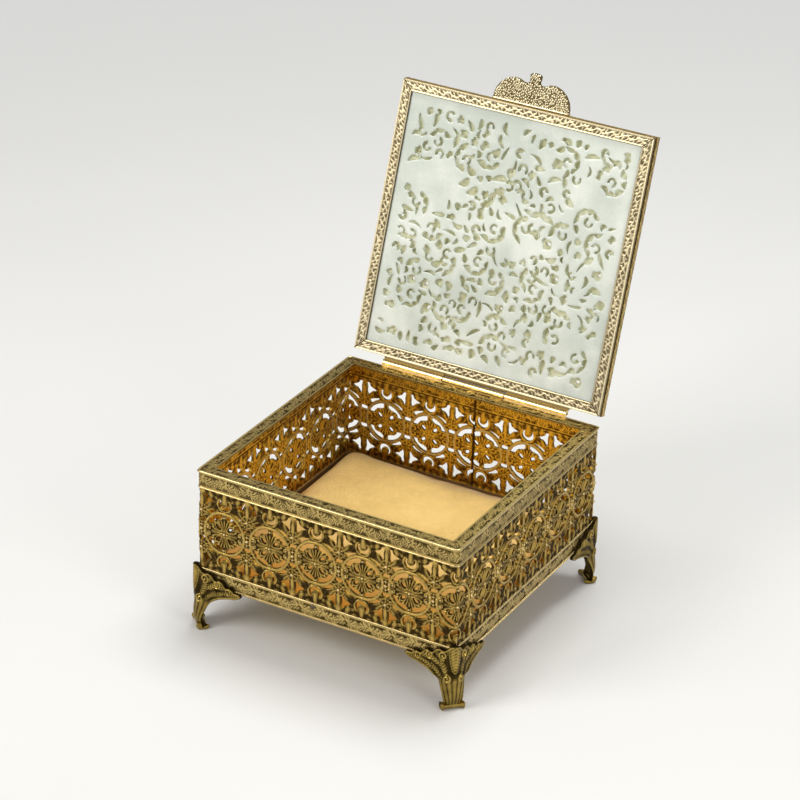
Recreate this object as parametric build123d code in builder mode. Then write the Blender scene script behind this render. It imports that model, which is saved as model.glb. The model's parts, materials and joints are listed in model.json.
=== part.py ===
from build123d import *
from math import ceil, cos, degrees, floor, pi, radians, sin, sqrt
import os

# Square keepsake box of gilt brass: pierced stamped walls on four cast corner feet,
# and a hinged lid that holds a carved jade plaque in a mitred brass frame.
# Units are millimetres. +X is to the right, +Y to the back, +Z up.
# The origin is the middle of the base pan's flat underside, level with the casing's lower edge.

# Casing
case_width = 127.0          # across the wall bands, left to right
case_depth = 127.0          # across the wall bands, front to back
case_height = 55.0          # lower edge of the walls to the top of the rim
corner_radius = 1.8         # outside bend of the wall strip
sheet = 0.8                 # thickness of the stamped brass sheet
band_relief = 0.4           # how far the plain bands stand out from the pierced field
lower_band = 7.5            # height of the band under the pierced field
upper_band = 8.0            # height of the band over it, rim included
rim_width = 5.8             # flat rim strip on top of the walls
seam_gap = 0.15             # butt seam at the back of the wall strip and of the rim
wall_seam_x = 2.5           # place of the wall strip's seam on the back
rim_seam_x = -0.5           # place of the rim's seam on the back

# Pierced field: one repeat is a ring with a rosette beside it
repeat = 22.75              # from one ring's centre to the next, along the strip
first_ring = -4.5           # ring next to the middle of the front, from that middle
ring_outer = 10.5           # outside radius of the ring
ring_inner = 9.2            # inside radius of the ring
medallion_radius = 6.6      # leafy middle of the ring
bar_height = 3.3            # half height of the solid bar through the rings
cup_height = 14.2           # centre of the small half ring over and under the ring
cup_radius = 2.9            # its inside radius
cup_mouth = 1.2             # from its centre to the end of its opening
bud_radius = 1.7            # bud that hangs into it
bud_drop = 0.7              # bud's centre beyond the half ring's
stem_width = 2.0            # upright stem through the ring's middle
sliver_radius = 12.1        # far side of the slivers outside the ring
sliver_gap = 0.25           # sheet between the ring and them
window_width = 3.5          # small openings over and under the rosettes' bar
window_height = 2.3
window_rise = 1.45          # their centre beyond the bar
field_margin = 0.4          # sheet left between an opening and a corner bend

# Base, board and pad
pan_flange = 7.0            # turned-up edge of the base pan
fit_gap = 0.1               # gap all round between pan and walls
pan_ease = 0.6              # how much rounder the pan's corners are than the walls' inner bend
screw_height = 5.8          # height of the side screws
screw_offset_front = -5.5   # place of the front and back screws along the wall
screw_offset_side = -3.9    # place of the side screws along the wall
screw_radius = 0.75         # shank
screw_head = 1.15           # head radius
screw_rise = 0.65           # height of the domed head
screw_taper = 35            # slope of the head's side, in degrees
screw_point = 0.3           # how far the shank comes through the pan's flange
screw_clearance = 0.05      # round the shank
board_thickness = 1.6       # card under the velvet
board_gap = 1.0             # between board and pan flange
board_corner = 5.0          # rounding of the board's corners
pad_gap = 1.6               # between the pad's widest line and the walls
pad_thickness = 10.2        # board to crown
pad_corner = 6.0            # rounding of the pad's corners
pad_tuck = 1.2              # pad's side inside the pan's flange, beyond the soft gap
pad_hem = 0.8               # how far the pad's lower edge turns in
soft_gap = 0.3              # soft pad to its board

# Feet
foot_height = 21.7          # floor to the casing's lower edge
wing_length = 24.5          # along each wall from the corner
wing_thickness = 1.2
wing_top = 9.4              # crest of the corner leaf over the casing's lower edge
wing_bottom = 8.0           # end of the wings under it
arris = 0.8                 # flat on the foot's upright corner
ankle_sheet = 1.3           # thickness of the ankle
toe_width = 11.2            # scrolled toe, across the diagonal
toe_setback = 2.5           # floor contact inwards from the corner, along the diagonal
toe_curl = 1.9              # height of the toe's curled end
toe_reach = 4.0             # length of the curled toe, inwards

# Lid, drawn in its own plane: u to the right, v from the hinge axis to the free edge,
# w out of the face that turns down on to the rim
open_angle = 108.4          # photographed pose, on the hinge's stop
hinge_setback = 1.4         # hinge axis behind the back wall
hinge_rise = 1.0            # hinge axis over the rim
seat_gap = 0.1              # closed lid to the rim
lid_side_inset = 1.35       # lid's sides inside the casing's
lid_front_inset = 1.1       # lid's front edge behind the casing's front
lid_edge = 2.9              # hinge axis to the lid's back edge
lid_thickness = 6.0
bezel_width = 5.0           # mitred flat strip round the plaque's inner face
bezel_sheet = 0.9
bezel_lip = 0.5             # how far its edge turns down
frame_sheet = 0.9
frame_width = 5.5           # outer frame's strip over the plaque's show face
frame_inset = 0.9           # groove between frame and bezel, from the bezel's edge
frame_relief = 0.35         # textured band outside the bezel's outline
groove = 0.6                # height of the groove
plaque_gap = 0.1            # plaque to the frame around it
plaque_margin = 3.2         # uncarved edge of the plaque inside the bezel

# Plaque's piercings: blossoms with vines round them, sprigs between, and a row along each edge
petal_count = 6
petal_ring = 4.6            # blossom's centre to its petals
petal_radii = (1.9, 1.0)
vine_count = 9
vine_ring = 12.0            # blossom's centre to the vines round it
vine_slot = (5.0, 1.8)
blossom_share = 0.62        # blossoms' places, as a share of the carved half width
sprig_ring = 3.4
sprig_radii = (1.6, 0.9)
sprig_share = 0.52
edge_slot = (5.0, 1.6)
edge_pitch = 14.0
edge_inset = 1.0            # edge rows inside the carved area

# Thumb-piece
thumb_width = 38.0
thumb_height = 11.3         # of its two side lobes
thumb_reach = 15.0          # of its middle knob
thumb_knob = 3.2            # knob radius
thumb_sheet = 0.9
thumb_foot = 2.6            # height of the strip that is soldered to the lid's front rail

# Hinge
barrel_radius = 1.35
pin_radius = 0.7
pin_clearance = 0.05
knuckle_length = 31.0
knuckle_gap = 0.2           # between neighbouring knuckles
leaf_sheet = 0.8
leaf_height = 7.0
leaf_lap = 1.0              # how far a knuckle's web laps its leaf
leaf_short = 0.5            # lid leaf's edge short of the lid's show face
pin_overhang = 0.25
pin_chamfer = 0.2

# Values that follow from the sizes above
rim_bottom = case_height - sheet
field_bottom = lower_band
field_top = case_height - upper_band
field_middle = (field_bottom + field_top) / 2
wall_inside = band_relief + sheet
screw_length = wall_inside + fit_gap + sheet + screw_point
lid_width = case_width - 2 * lid_side_inset
lid_length = case_depth + hinge_setback - lid_edge - lid_front_inset
hinge_y = case_depth / 2 + hinge_setback
hinge_z = case_height + hinge_rise
side_lengths = [case_width, case_depth]
wall_names = ["front", "right", "back", "left"]


def wall_half(j):
    """Half the casing along wall j, and half the casing across it."""
    return side_lengths[j % 2] / 2, side_lengths[(j + 1) % 2] / 2


def plan_plane(j, height=0.0):
    """The ground plan turned so that wall j lies at -y."""
    turn = radians(90 * j)
    return Plane(origin=(0, 0, height), x_dir=(cos(turn), sin(turn), 0), z_dir=(0, 0, 1))


def face_plane(j, depth=0.0):
    """Upright plane of wall j: x along the wall, y up, z outwards; depth is inside the bands' face."""
    turn = radians(90 * j)
    out = Vector(sin(turn), -cos(turn), 0)
    return Plane(origin=out * (wall_half(j)[1] - depth), x_dir=(cos(turn), sin(turn), 0), z_dir=out)


def strip_position(j):
    """Length along the wall strip from the middle of the front to the middle of wall j."""
    corner = pi / 2 * corner_radius
    total = 0.0
    for k in range(1, j + 1):
        total += wall_half(k - 1)[0] + wall_half(k)[0] - 2 * corner_radius + corner
    return total


def strip_plan(j, outer):
    """Plan of wall j with the bend at its right-hand corner; outer is inside the bands' face."""
    along, across = wall_half(j)
    flat = along - corner_radius
    radius = corner_radius - outer
    inner = outer + sheet
    centre = (flat, corner_radius - across)
    with BuildSketch(Plane.XY) as plan:
        with BuildLine():
            Line((-flat, outer - across), (flat, outer - across))
            CenterArc(centre, radius, 270, 90)
            Line((along - outer, corner_radius - across), (along - inner, corner_radius - across))
            CenterArc(centre, radius - sheet, 360, -90)
            Line((flat, inner - across), (-flat, inner - across))
            Line((-flat, inner - across), (-flat, outer - across))
        make_face()
    return plan.sketch


def horn(side, end):
    """Opening between the half ring and the rosette's stem; side and end mirror it."""
    points = [(0.95, 17.7), (2.7, 17.7), (3.0, 16.3), (6.3, 14.6), (3.9, 13.5), (2.1, 11.1), (1.3, 13.4), (1.4, 15.0)]
    with BuildSketch(Plane.XY) as opening:
        with BuildLine():
            Polyline([(side * x, end * z) for x, z in points], close=True)
        make_face()
    return opening.sketch


def ring_openings():
    """Openings of one ring and its two half rings, about the ring's centre."""
    with BuildSketch(Plane.XY) as openings:
        Circle(ring_inner)
        Circle(medallion_radius, mode=Mode.SUBTRACT)
        Rectangle(2 * ring_outer, 2 * bar_height, mode=Mode.SUBTRACT)
        Rectangle(stem_width, 2 * ring_outer, mode=Mode.SUBTRACT)
        for end in (1, -1):
            with BuildSketch(Plane.XY, mode=Mode.PRIVATE) as cup:
                with Locations((0, cup_height * end)):
                    Circle(cup_radius)
                with Locations((0, (cup_height + bud_drop) * end)):
                    Circle(bud_radius, mode=Mode.SUBTRACT)
                with Locations((0, (cup_height + cup_mouth + cup_radius) * end)):
                    Rectangle(2 * cup_radius, 2 * cup_radius, mode=Mode.SUBTRACT)
            add(cup.sketch)
            for side in (1, -1):
                with BuildSketch(Plane.XY, mode=Mode.PRIVATE) as sliver:
                    Circle(sliver_radius)
                    Circle(ring_outer + sliver_gap, mode=Mode.SUBTRACT)
                    with BuildLine():
                        Polyline((0, 0), (side * 14.0, end * 13.5), (side * 5.0, end * 15.4), close=True)
                    make_face(mode=Mode.INTERSECT)
                add(sliver.sketch)
    return openings.sketch


def rosette_openings():
    """Openings round one rosette stem, about the point midway between two rings."""
    with BuildSketch(Plane.XY) as openings:
        for end in (1, -1):
            with Locations((0, (bar_height + window_rise) * end)):
                Rectangle(window_width, window_height)
            for side in (1, -1):
                add(horn(side, end))
    return openings.sketch


def repeat_places(start, end, position):
    """Ring centres whose repeat reaches between start and end, on a wall with its middle at position."""
    first = floor((start + position - first_ring) / repeat) - 1
    last = ceil((end + position - first_ring) / repeat)
    return [first_ring + repeat * k - position for k in range(first, last + 1)]


# Pierced walls. The strip is one length of stamping bent round the box, in four stretches. Its
# pattern runs both ways from the front, so it doesn't meet at the seam in the back.
ring_cut = ring_openings()
rosette_cut = rosette_openings()
os.makedirs("parts", exist_ok=True)
for j, name in enumerate(wall_names):
    clip = wall_half(j)[0] - corner_radius - field_margin
    stretches = [(-clip, clip, strip_position(j))]
    if name == "back":
        stretches = [(-clip, -wall_seam_x - field_margin, strip_position(2)),
                     (-wall_seam_x + field_margin, clip, -strip_position(2))]
    if name == "left":
        stretches = [(-clip, clip, -strip_position(1))]
    with BuildPart() as wall:
        with BuildSketch(plan_plane(j)):
            add(strip_plan(j, band_relief))
        extrude(amount=rim_bottom)
        for low, high in ((0.0, field_bottom), (field_top, rim_bottom)):
            with BuildSketch(plan_plane(j, low)):
                add(strip_plan(j, 0.0))
            extrude(amount=high - low)
        for start, end, position in stretches:
            with BuildSketch(face_plane(j, band_relief)):
                for ring_u in repeat_places(start, end, position):
                    with Locations((ring_u, field_middle)):
                        add(ring_cut)
                    with Locations((ring_u + repeat / 2, field_middle)):
                        add(rosette_cut)
                with Locations(((start + end) / 2, field_middle)):
                    Rectangle(end - start, field_top - field_bottom - 2 * field_margin, mode=Mode.INTERSECT)
            extrude(amount=2 * sheet, both=True, mode=Mode.SUBTRACT)
        screw_u = screw_offset_side if j % 2 else screw_offset_front
        with BuildSketch(face_plane(j)):
            with Locations((screw_u, screw_height)):
                Circle(screw_radius + screw_clearance)
        extrude(amount=-2 * sheet, mode=Mode.SUBTRACT)
        if name == "back":
            with BuildSketch(face_plane(j)):
                with Locations((-wall_seam_x, case_height / 2)):
                    Rectangle(seam_gap, 2 * case_height)
            extrude(amount=-2 * sheet, mode=Mode.SUBTRACT)
    wall.part.label = "wall_" + name
    export_step(wall.part, f"parts/wall_{name}.step")

# Flat rim strip on top of the walls, mitred at the corners, with a butt seam at the back.
with BuildPart() as rim:
    with BuildSketch(Plane.XY.offset(rim_bottom)):
        RectangleRounded(case_width, case_depth, corner_radius)
        Rectangle(case_width - 2 * rim_width, case_depth - 2 * rim_width, mode=Mode.SUBTRACT)
        with Locations((rim_seam_x, case_depth / 2)):
            Rectangle(seam_gap, 3 * rim_width, mode=Mode.SUBTRACT)
    extrude(amount=sheet)
rim.part.label = "top_rim"
export_step(rim.part, "parts/top_rim.step")

# Base pan: a flat sheet with a turned-up edge that is screwed to the walls.
pan_width = case_width - 2 * (wall_inside + fit_gap)
pan_depth = case_depth - 2 * (wall_inside + fit_gap)
pan_corner = corner_radius - wall_inside - fit_gap + pan_ease
with BuildPart() as pan:
    with BuildSketch(Plane.XY):
        RectangleRounded(pan_width, pan_depth, pan_corner)
    extrude(amount=pan_flange + sheet)
    with BuildSketch(Plane.XY.offset(sheet)):
        RectangleRounded(pan_width - 2 * sheet, pan_depth - 2 * sheet, pan_corner)
    extrude(amount=pan_flange, mode=Mode.SUBTRACT)
    for j in range(4):
        screw_u = screw_offset_side if j % 2 else screw_offset_front
        with BuildSketch(face_plane(j)):
            with Locations((screw_u, screw_height)):
                Circle(screw_radius + screw_clearance)
        extrude(amount=-4 * sheet, mode=Mode.SUBTRACT)
pan.part.label = "base_pan"
export_step(pan.part, "parts/base_pan.step")

# Four dome-headed screws through the walls into the pan's turned-up edge.
with BuildPart() as screws:
    for j in range(4):
        screw_u = screw_offset_side if j % 2 else screw_offset_front
        with BuildSketch(face_plane(j)):
            with Locations((screw_u, screw_height)):
                Circle(screw_radius)
        extrude(amount=-screw_length)
        with BuildSketch(face_plane(j)):
            with Locations((screw_u, screw_height)):
                Circle(screw_head)
        extrude(amount=screw_rise, taper=screw_taper)
screws.part.label = "base_screws"
export_step(screws.part, "parts/base_screws.step")

# Card board and velvet pad
board_width = pan_width - 2 * (sheet + board_gap)
board_depth = pan_depth - 2 * (sheet + board_gap)
with BuildPart() as board:
    with BuildSketch(Plane.XY.offset(sheet)):
        RectangleRounded(board_width, board_depth, board_corner)
    extrude(amount=board_thickness)
board.part.label = "pad_board"
export_step(board.part, "parts/pad_board.step")

pad_bottom = sheet + board_thickness + soft_gap
pad_top = sheet + board_thickness + pad_thickness
pad_width = case_width - 2 * (wall_inside + pad_gap)
pad_depth = case_depth - 2 * (wall_inside + pad_gap)
pan_inset = wall_inside + fit_gap + sheet
pad_low = pan_inset + soft_gap + pad_tuck - wall_inside - pad_gap
pad_profile = [(0.0, pad_low + pad_hem), (0.3, pad_low), (0.62, 0.0), (0.8, 0.7), (0.92, 3.2), (1.0, 13.0)]
with BuildPart() as pad:
    for share, inset in pad_profile:
        with BuildSketch(Plane.XY.offset(pad_bottom + share * (pad_top - pad_bottom))):
            RectangleRounded(pad_width - 2 * inset, pad_depth - 2 * inset, pad_corner)
    loft(ruled=True)
pad.part.label = "velvet_pad"
export_step(pad.part, "parts/velvet_pad.step")


# Feet. Each is drawn at the front right corner and mirrored to its own.
def ankle_band(bend, half_width, push):
    """Curved band across the corner: bend is its outside radius, push moves it out along the diagonal."""
    centre = (push - bend) / sqrt(2)
    spread = degrees(half_width / bend)
    with BuildSketch(Plane.XY) as band:
        with BuildLine():
            outer = CenterArc((centre, -centre), bend, -45 - spread, 2 * spread)
            inner = CenterArc((centre, -centre), bend - ankle_sheet, -45 + spread, -2 * spread)
            Line(outer @ 1, inner @ 0)
            Line(inner @ 1, outer @ 0)
        make_face()
    return band.sketch


def wing_outline():
    """Outline of the leafy wing on the front wall, drawn from the corner to the left."""
    corner = case_width / 2
    crests = [[(20.5, 0.9), (18.6, 2.4), (16.4, 2.0)], [(16.4, 2.0), (13.6, 4.8), (11.0, 3.9)],
              [(11.0, 3.9), (7.6, 6.6), (4.4, 6.2)], [(4.4, 6.2), (2.6, 8.6), (0.0, wing_top)]]
    under = [(0.0, -wing_bottom), (8.0, -8.6), (11.8, -5.6), (16.0, -3.7), (21.4, -2.4), (24.5, -0.6), (23.9, 0.6),
             (20.5, 0.9)]

    def place(point):
        return corner - point[0] * wing_length / 24.5, point[1]

    with BuildSketch(Plane.XY) as outline:
        with BuildLine():
            Polyline([place(point) for point in under])
            for crest in crests:
                ThreePointArc(*[place(point) for point in crest])
            Line((corner, wing_top), (corner, -wing_bottom))
        make_face()
    return outline.sketch


reach = wing_thickness * sqrt(2)
toe_depth = toe_curl - 0.1
toe_sink = 0.4              # how far the ankle runs into the toe
heel = toe_reach * 0.75 - toe_setback
sole = -foot_height
ankle_length = foot_height - toe_depth + toe_sink
# Height as a share of the ankle's length, bend, half width across the corner, and push out along the diagonal
ankle_sections = [
    (5.0 / 20.3, 5.2, 7.6, reach - 0.6),
    (8.6 / 20.3, 5.2, 7.0, reach - 0.2),
    (12.0 / 20.3, 5.2, 5.7, reach + 0.1),
    (15.0 / 20.3, 5.6, 4.7, reach + 0.2),
    (18.0 / 20.3, 7.0, 3.9, reach - 0.2),
    (1.0, 14.0, 4.4, heel),
]
diagonal = Plane(origin=(case_width / 2, -case_depth / 2, 0), x_dir=(1, -1, 0), z_dir=(-1, -1, 0))
mirror_plane = Plane(origin=(case_width / 2, -case_depth / 2, 0), x_dir=(0, 0, 1), z_dir=(1, 1, 0))
with BuildPart() as foot:
    with BuildSketch(face_plane(0)):
        add(wing_outline())
    extrude(amount=wing_thickness)
    mirror(about=mirror_plane)
    with BuildSketch(Plane.XY.offset(-wing_bottom)):
        with Locations((case_width / 2 + wing_thickness / 2, -case_depth / 2 - wing_thickness / 2)):
            Rectangle(wing_thickness, wing_thickness)
    extrude(amount=wing_bottom + wing_top)
    corner_edge = foot.edges().filter_by(Axis.Z).sort_by(Axis.X)[-1:].sort_by(Axis.Y)[0]
    chamfer(corner_edge, length=arris)
    for share, bend, half_width, push in ankle_sections:
        with BuildSketch(Plane(origin=(case_width / 2, -case_depth / 2, -share * ankle_length))):
            add(ankle_band(bend, half_width, push))
    loft(ruled=True)
    with BuildSketch(diagonal):
        with BuildLine():
            shin = Line((heel, sole + toe_depth), (heel - 0.5, sole + 0.7))
            ball = ThreePointArc(shin @ 1, (heel - 1.1, sole + 0.2), (heel - 1.9, sole))
            tread = Line(ball @ 1, (heel - toe_reach * 0.8, sole))
            rise = ThreePointArc(tread @ 1, (heel - toe_reach * 0.945, sole + 0.65), (heel - toe_reach, sole + toe_curl))
            tip = Line(rise @ 1, (heel - toe_reach + 0.9, sole + toe_curl))
            instep = ThreePointArc(tip @ 1, (heel - toe_reach * 0.6, sole + 1.05), (heel - 1.4, sole + 1.3))
            calf = Line(instep @ 1, (heel - ankle_sheet, sole + toe_depth))
            Line(calf @ 1, shin @ 0)
        make_face()
    extrude(amount=toe_width / 2, both=True)
foot.part.label = "foot_front_right"

with BuildPart() as foot_front_left:
    mirror(foot.part, about=Plane.YZ)
with BuildPart() as foot_back_right:
    mirror(foot.part, about=Plane.XZ)
with BuildPart() as foot_back_left:
    mirror(foot_back_right.part, about=Plane.YZ)
for label, piece in (("foot_front_right", foot), ("foot_front_left", foot_front_left),
                     ("foot_back_right", foot_back_right), ("foot_back_left", foot_back_left)):
    piece.part.label = label
    export_step(piece.part, f"parts/{label}.step")


# Lid
def lid_plane(w=0.0):
    """Plane of the open lid, w out of its inner face, with its origin on the hinge axis."""
    tilt = radians(open_angle)
    normal = Vector(0, -sin(tilt), -cos(tilt))
    return Plane(origin=Vector(0, hinge_y, hinge_z) + normal * w, x_dir=(1, 0, 0), z_dir=normal)


face_w = hinge_rise - seat_gap
back_w = face_w - lid_thickness
bezel_back_w = face_w - bezel_sheet
lip_w = bezel_back_w - bezel_lip
band_top_w = lip_w - groove
lid_middle_v = lid_edge + lid_length / 2
frame_half_u = lid_width / 2 - frame_inset
frame_half_v = lid_length / 2 - frame_inset


def mitred(j, inner_u, outer_u, inner_v, outer_v):
    """Stretch j of a frame between two rectangles, mitred at both ends."""
    corners = [(1, -1), (1, 1), (-1, 1), (-1, -1)]
    start, end = corners[j - 1], corners[j]
    points = [(s[0] * u, lid_middle_v + s[1] * v) for s, u, v in (
        (start, inner_u, inner_v), (start, outer_u, outer_v), (end, outer_u, outer_v), (end, inner_u, inner_v))]
    with BuildSketch(Plane.XY) as stretch:
        with BuildLine():
            Polyline(points, close=True)
        make_face()
    return stretch.sketch


rail_names = ["back", "right", "front", "left"]
plaque_half_u = frame_half_u - frame_sheet
plaque_half_v = frame_half_v - frame_sheet
show_half_u = lid_width / 2 - frame_width
show_half_v = lid_length / 2 - frame_width
band_half_u = lid_width / 2 + frame_relief
band_half_v = lid_length / 2 + frame_relief
frame_stretches = [
    (plaque_half_u, frame_half_u, plaque_half_v, frame_half_v, back_w, bezel_back_w),
    (plaque_half_u, band_half_u, plaque_half_v, band_half_v, back_w, band_top_w),
    (show_half_u, frame_half_u, show_half_v, frame_half_v, back_w, back_w + frame_sheet),
]
bezel_stretches = [
    (lid_width / 2 - bezel_width, lid_width / 2, lid_length / 2 - bezel_width, lid_length / 2, bezel_back_w, face_w),
    (frame_half_u + plaque_gap, lid_width / 2, frame_half_v + plaque_gap, lid_length / 2, lip_w, bezel_back_w),
]
for j, name in enumerate(rail_names):
    with BuildPart() as frame_rail:
        for inner_u, outer_u, inner_v, outer_v, low, high in frame_stretches:
            with BuildSketch(lid_plane(low)):
                add(mitred(j, inner_u, outer_u, inner_v, outer_v))
            extrude(amount=high - low)
    frame_rail.part.label = f"lid_frame_{name}"
    export_step(frame_rail.part, f"parts/lid_frame_{name}.step")
    with BuildPart() as bezel:
        for inner_u, outer_u, inner_v, outer_v, low, high in bezel_stretches:
            with BuildSketch(lid_plane(low)):
                add(mitred(j, inner_u, outer_u, inner_v, outer_v))
            extrude(amount=high - low)
    bezel.part.label = f"lid_bezel_{name}"
    export_step(bezel.part, f"parts/lid_bezel_{name}.step")

# Carved jade plaque, held between the frame's flange and the bezel.
plaque_width = 2 * (frame_half_u - frame_sheet - plaque_gap)
plaque_length = 2 * (frame_half_v - frame_sheet - plaque_gap)
plaque_back_w = back_w + frame_sheet + plaque_gap
plaque_front_w = bezel_back_w - plaque_gap
carved_half_u = lid_width / 2 - bezel_width - plaque_margin
carved_half_v = lid_length / 2 - bezel_width - plaque_margin
blossoms = [(0, 0)] + [(du, dv) for dv in (-blossom_share, blossom_share) for du in (-blossom_share, blossom_share)]
with BuildPart() as plaque:
    with BuildSketch(lid_plane(plaque_back_w)):
        with Locations((0, lid_middle_v)):
            Rectangle(plaque_width, plaque_length)
    extrude(amount=plaque_front_w - plaque_back_w)
    with BuildSketch(lid_plane(plaque_back_w)):
        for du, dv in blossoms:
            with Locations((du * carved_half_u, lid_middle_v + dv * carved_half_v)):
                with PolarLocations(petal_ring, petal_count):
                    Ellipse(*petal_radii)
                with PolarLocations(vine_ring, vine_count, start_angle=20):
                    SlotOverall(*vine_slot, rotation=60)
        for side in (1, -1):
            with Locations((side * sprig_share * carved_half_u, lid_middle_v),
                           (0, lid_middle_v + side * sprig_share * carved_half_v)):
                with PolarLocations(sprig_ring, 3, start_angle=90):
                    Ellipse(*sprig_radii)
            with Locations((side * (carved_half_u - edge_inset), lid_middle_v)):
                with GridLocations(1, edge_pitch, 1, 3):
                    SlotOverall(*edge_slot, rotation=90)
            with Locations((0, lid_middle_v + side * (carved_half_v - edge_inset))):
                with GridLocations(edge_pitch, 1, 3, 1):
                    SlotOverall(*edge_slot)
    extrude(amount=lid_thickness, mode=Mode.SUBTRACT)
plaque.part.label = "jade_plaque"
export_step(plaque.part, "parts/jade_plaque.step")

def thumb_outline():
    """Outline of the thumb-piece above its foot: two side lobes and a middle knob."""
    half = thumb_width / 2
    shoulder = thumb_height * 0.86
    with BuildSketch(Plane.XY) as outline:
        with BuildLine():
            lobe = ThreePointArc((-half, 0), (-half * 0.8, thumb_height * 0.8), (-half * 0.42, thumb_height))
            dip = Line(lobe @ 1, (-thumb_knob, shoulder))
            knob = ThreePointArc(dip @ 1, (0, thumb_reach), (thumb_knob, shoulder))
            dip_back = Line(knob @ 1, (half * 0.42, thumb_height))
            other_lobe = ThreePointArc(dip_back @ 1, (half * 0.8, thumb_height * 0.8), (half, 0))
            Line(other_lobe @ 1, lobe @ 0)
        make_face()
    return outline.sketch


# Thumb-piece: a lobed tab with a foot strip soldered to the lid's front rail.
rail_face_v = lid_edge + lid_length + frame_relief
thumb_w = (back_w + band_top_w) / 2
with BuildPart() as thumb:
    with BuildSketch(lid_plane(thumb_w - thumb_sheet / 2)):
        with Locations((0, rail_face_v)):
            add(thumb_outline())
    extrude(amount=thumb_sheet)
    with BuildSketch(lid_plane(thumb_w - thumb_foot / 2)):
        with Locations((0, rail_face_v + thumb_sheet / 2)):
            Rectangle(thumb_width, thumb_sheet)
    extrude(amount=thumb_foot)
thumb.part.label = "thumb_piece"
export_step(thumb.part, "parts/thumb_piece.step")

# Hinge. The middle knuckle belongs to the box, the outer two to the lid.
pitch = knuckle_length + knuckle_gap
barrel_length = 3 * knuckle_length + 2 * knuckle_gap


def round_section(radius):
    """Round section about the hinge axis, seen from the right."""
    with BuildSketch(Plane.XY) as section:
        with Locations((hinge_y, hinge_z)):
            Circle(radius)
    return section.sketch


leaf_top = hinge_z - barrel_radius - knuckle_gap
with BuildPart() as body_leaf:
    with BuildSketch(face_plane(2)):
        with Locations((0, leaf_top - leaf_height / 2)):
            Rectangle(barrel_length, leaf_height)
        with Locations((0, (leaf_top - leaf_lap + hinge_z) / 2)):
            Rectangle(knuckle_length, hinge_z - leaf_top + leaf_lap)
    extrude(amount=leaf_sheet)
    with BuildSketch(Plane.YZ.offset(-knuckle_length / 2)):
        add(round_section(barrel_radius))
    extrude(amount=knuckle_length)
    with BuildSketch(Plane.YZ.offset(-barrel_length)):
        add(round_section(pin_radius + pin_clearance))
    extrude(amount=2 * barrel_length, mode=Mode.SUBTRACT)
body_leaf.part.label = "hinge_body_leaf"
export_step(body_leaf.part, "parts/hinge_body_leaf.step")

leaf_face_v = lid_edge - frame_relief
web_w = -barrel_radius
with BuildPart() as lid_leaf:
    with BuildSketch(lid_plane(back_w + leaf_short)):
        with Locations((0, leaf_face_v - leaf_sheet / 2)):
            Rectangle(barrel_length, leaf_sheet)
    extrude(amount=web_w + leaf_sheet - back_w - leaf_short)
    for side in (1, -1):
        with BuildSketch(lid_plane(web_w)):
            with Locations((side * pitch, (leaf_face_v - leaf_sheet / 2) / 2)):
                Rectangle(knuckle_length, leaf_face_v - leaf_sheet / 2)
        extrude(amount=leaf_sheet)
        with BuildSketch(Plane.YZ.offset(side * pitch - knuckle_length / 2)):
            add(round_section(barrel_radius))
        extrude(amount=knuckle_length)
    with BuildSketch(Plane.YZ.offset(-barrel_length)):
        add(round_section(pin_radius + pin_clearance))
    extrude(amount=2 * barrel_length, mode=Mode.SUBTRACT)
lid_leaf.part.label = "hinge_lid_leaf"
export_step(lid_leaf.part, "parts/hinge_lid_leaf.step")

with BuildPart() as pin:
    with BuildSketch(Plane.YZ.offset(-barrel_length / 2 - pin_overhang)):
        add(round_section(pin_radius))
    extrude(amount=barrel_length + 2 * pin_overhang)
    chamfer(pin.edges().filter_by(GeomType.CIRCLE), length=pin_chamfer)
pin.part.label = "hinge_pin"
export_step(pin.part, "parts/hinge_pin.step")
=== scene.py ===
import json
import math

import bmesh
import bpy
import numpy as np
from bpy.props import FloatProperty, FloatVectorProperty, IntProperty, PointerProperty
from mathutils import Matrix, Vector

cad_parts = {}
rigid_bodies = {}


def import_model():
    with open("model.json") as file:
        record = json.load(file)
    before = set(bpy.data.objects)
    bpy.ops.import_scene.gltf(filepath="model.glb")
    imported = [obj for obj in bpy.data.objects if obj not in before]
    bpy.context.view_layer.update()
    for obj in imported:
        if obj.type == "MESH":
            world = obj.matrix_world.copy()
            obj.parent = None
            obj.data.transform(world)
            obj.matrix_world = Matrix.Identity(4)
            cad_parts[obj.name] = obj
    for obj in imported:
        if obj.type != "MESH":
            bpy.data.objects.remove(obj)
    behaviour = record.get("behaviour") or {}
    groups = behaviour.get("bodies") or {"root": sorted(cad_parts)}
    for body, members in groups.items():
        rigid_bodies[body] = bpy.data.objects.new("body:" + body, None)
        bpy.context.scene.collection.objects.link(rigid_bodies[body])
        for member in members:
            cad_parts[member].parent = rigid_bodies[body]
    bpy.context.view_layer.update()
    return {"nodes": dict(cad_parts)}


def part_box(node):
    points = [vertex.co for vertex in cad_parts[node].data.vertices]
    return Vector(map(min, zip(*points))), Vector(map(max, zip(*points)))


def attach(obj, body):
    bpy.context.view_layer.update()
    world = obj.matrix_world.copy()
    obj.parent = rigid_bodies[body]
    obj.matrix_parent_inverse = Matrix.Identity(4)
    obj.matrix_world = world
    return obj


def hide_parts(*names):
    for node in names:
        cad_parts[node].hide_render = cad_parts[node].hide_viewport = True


bl_info = {
    "name": "Jade-inlaid keepsake box",
    "version": (1, 0, 0),
    "blender": (4, 5, 0),
    "location": "3D View > Sidebar > Keepsake Box",
    "description": "Makes the finished pieces of a pierced brass keepsake box with a jade lid on its frame",
    "category": "Object",
}

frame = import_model()

MM = 0.001

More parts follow.
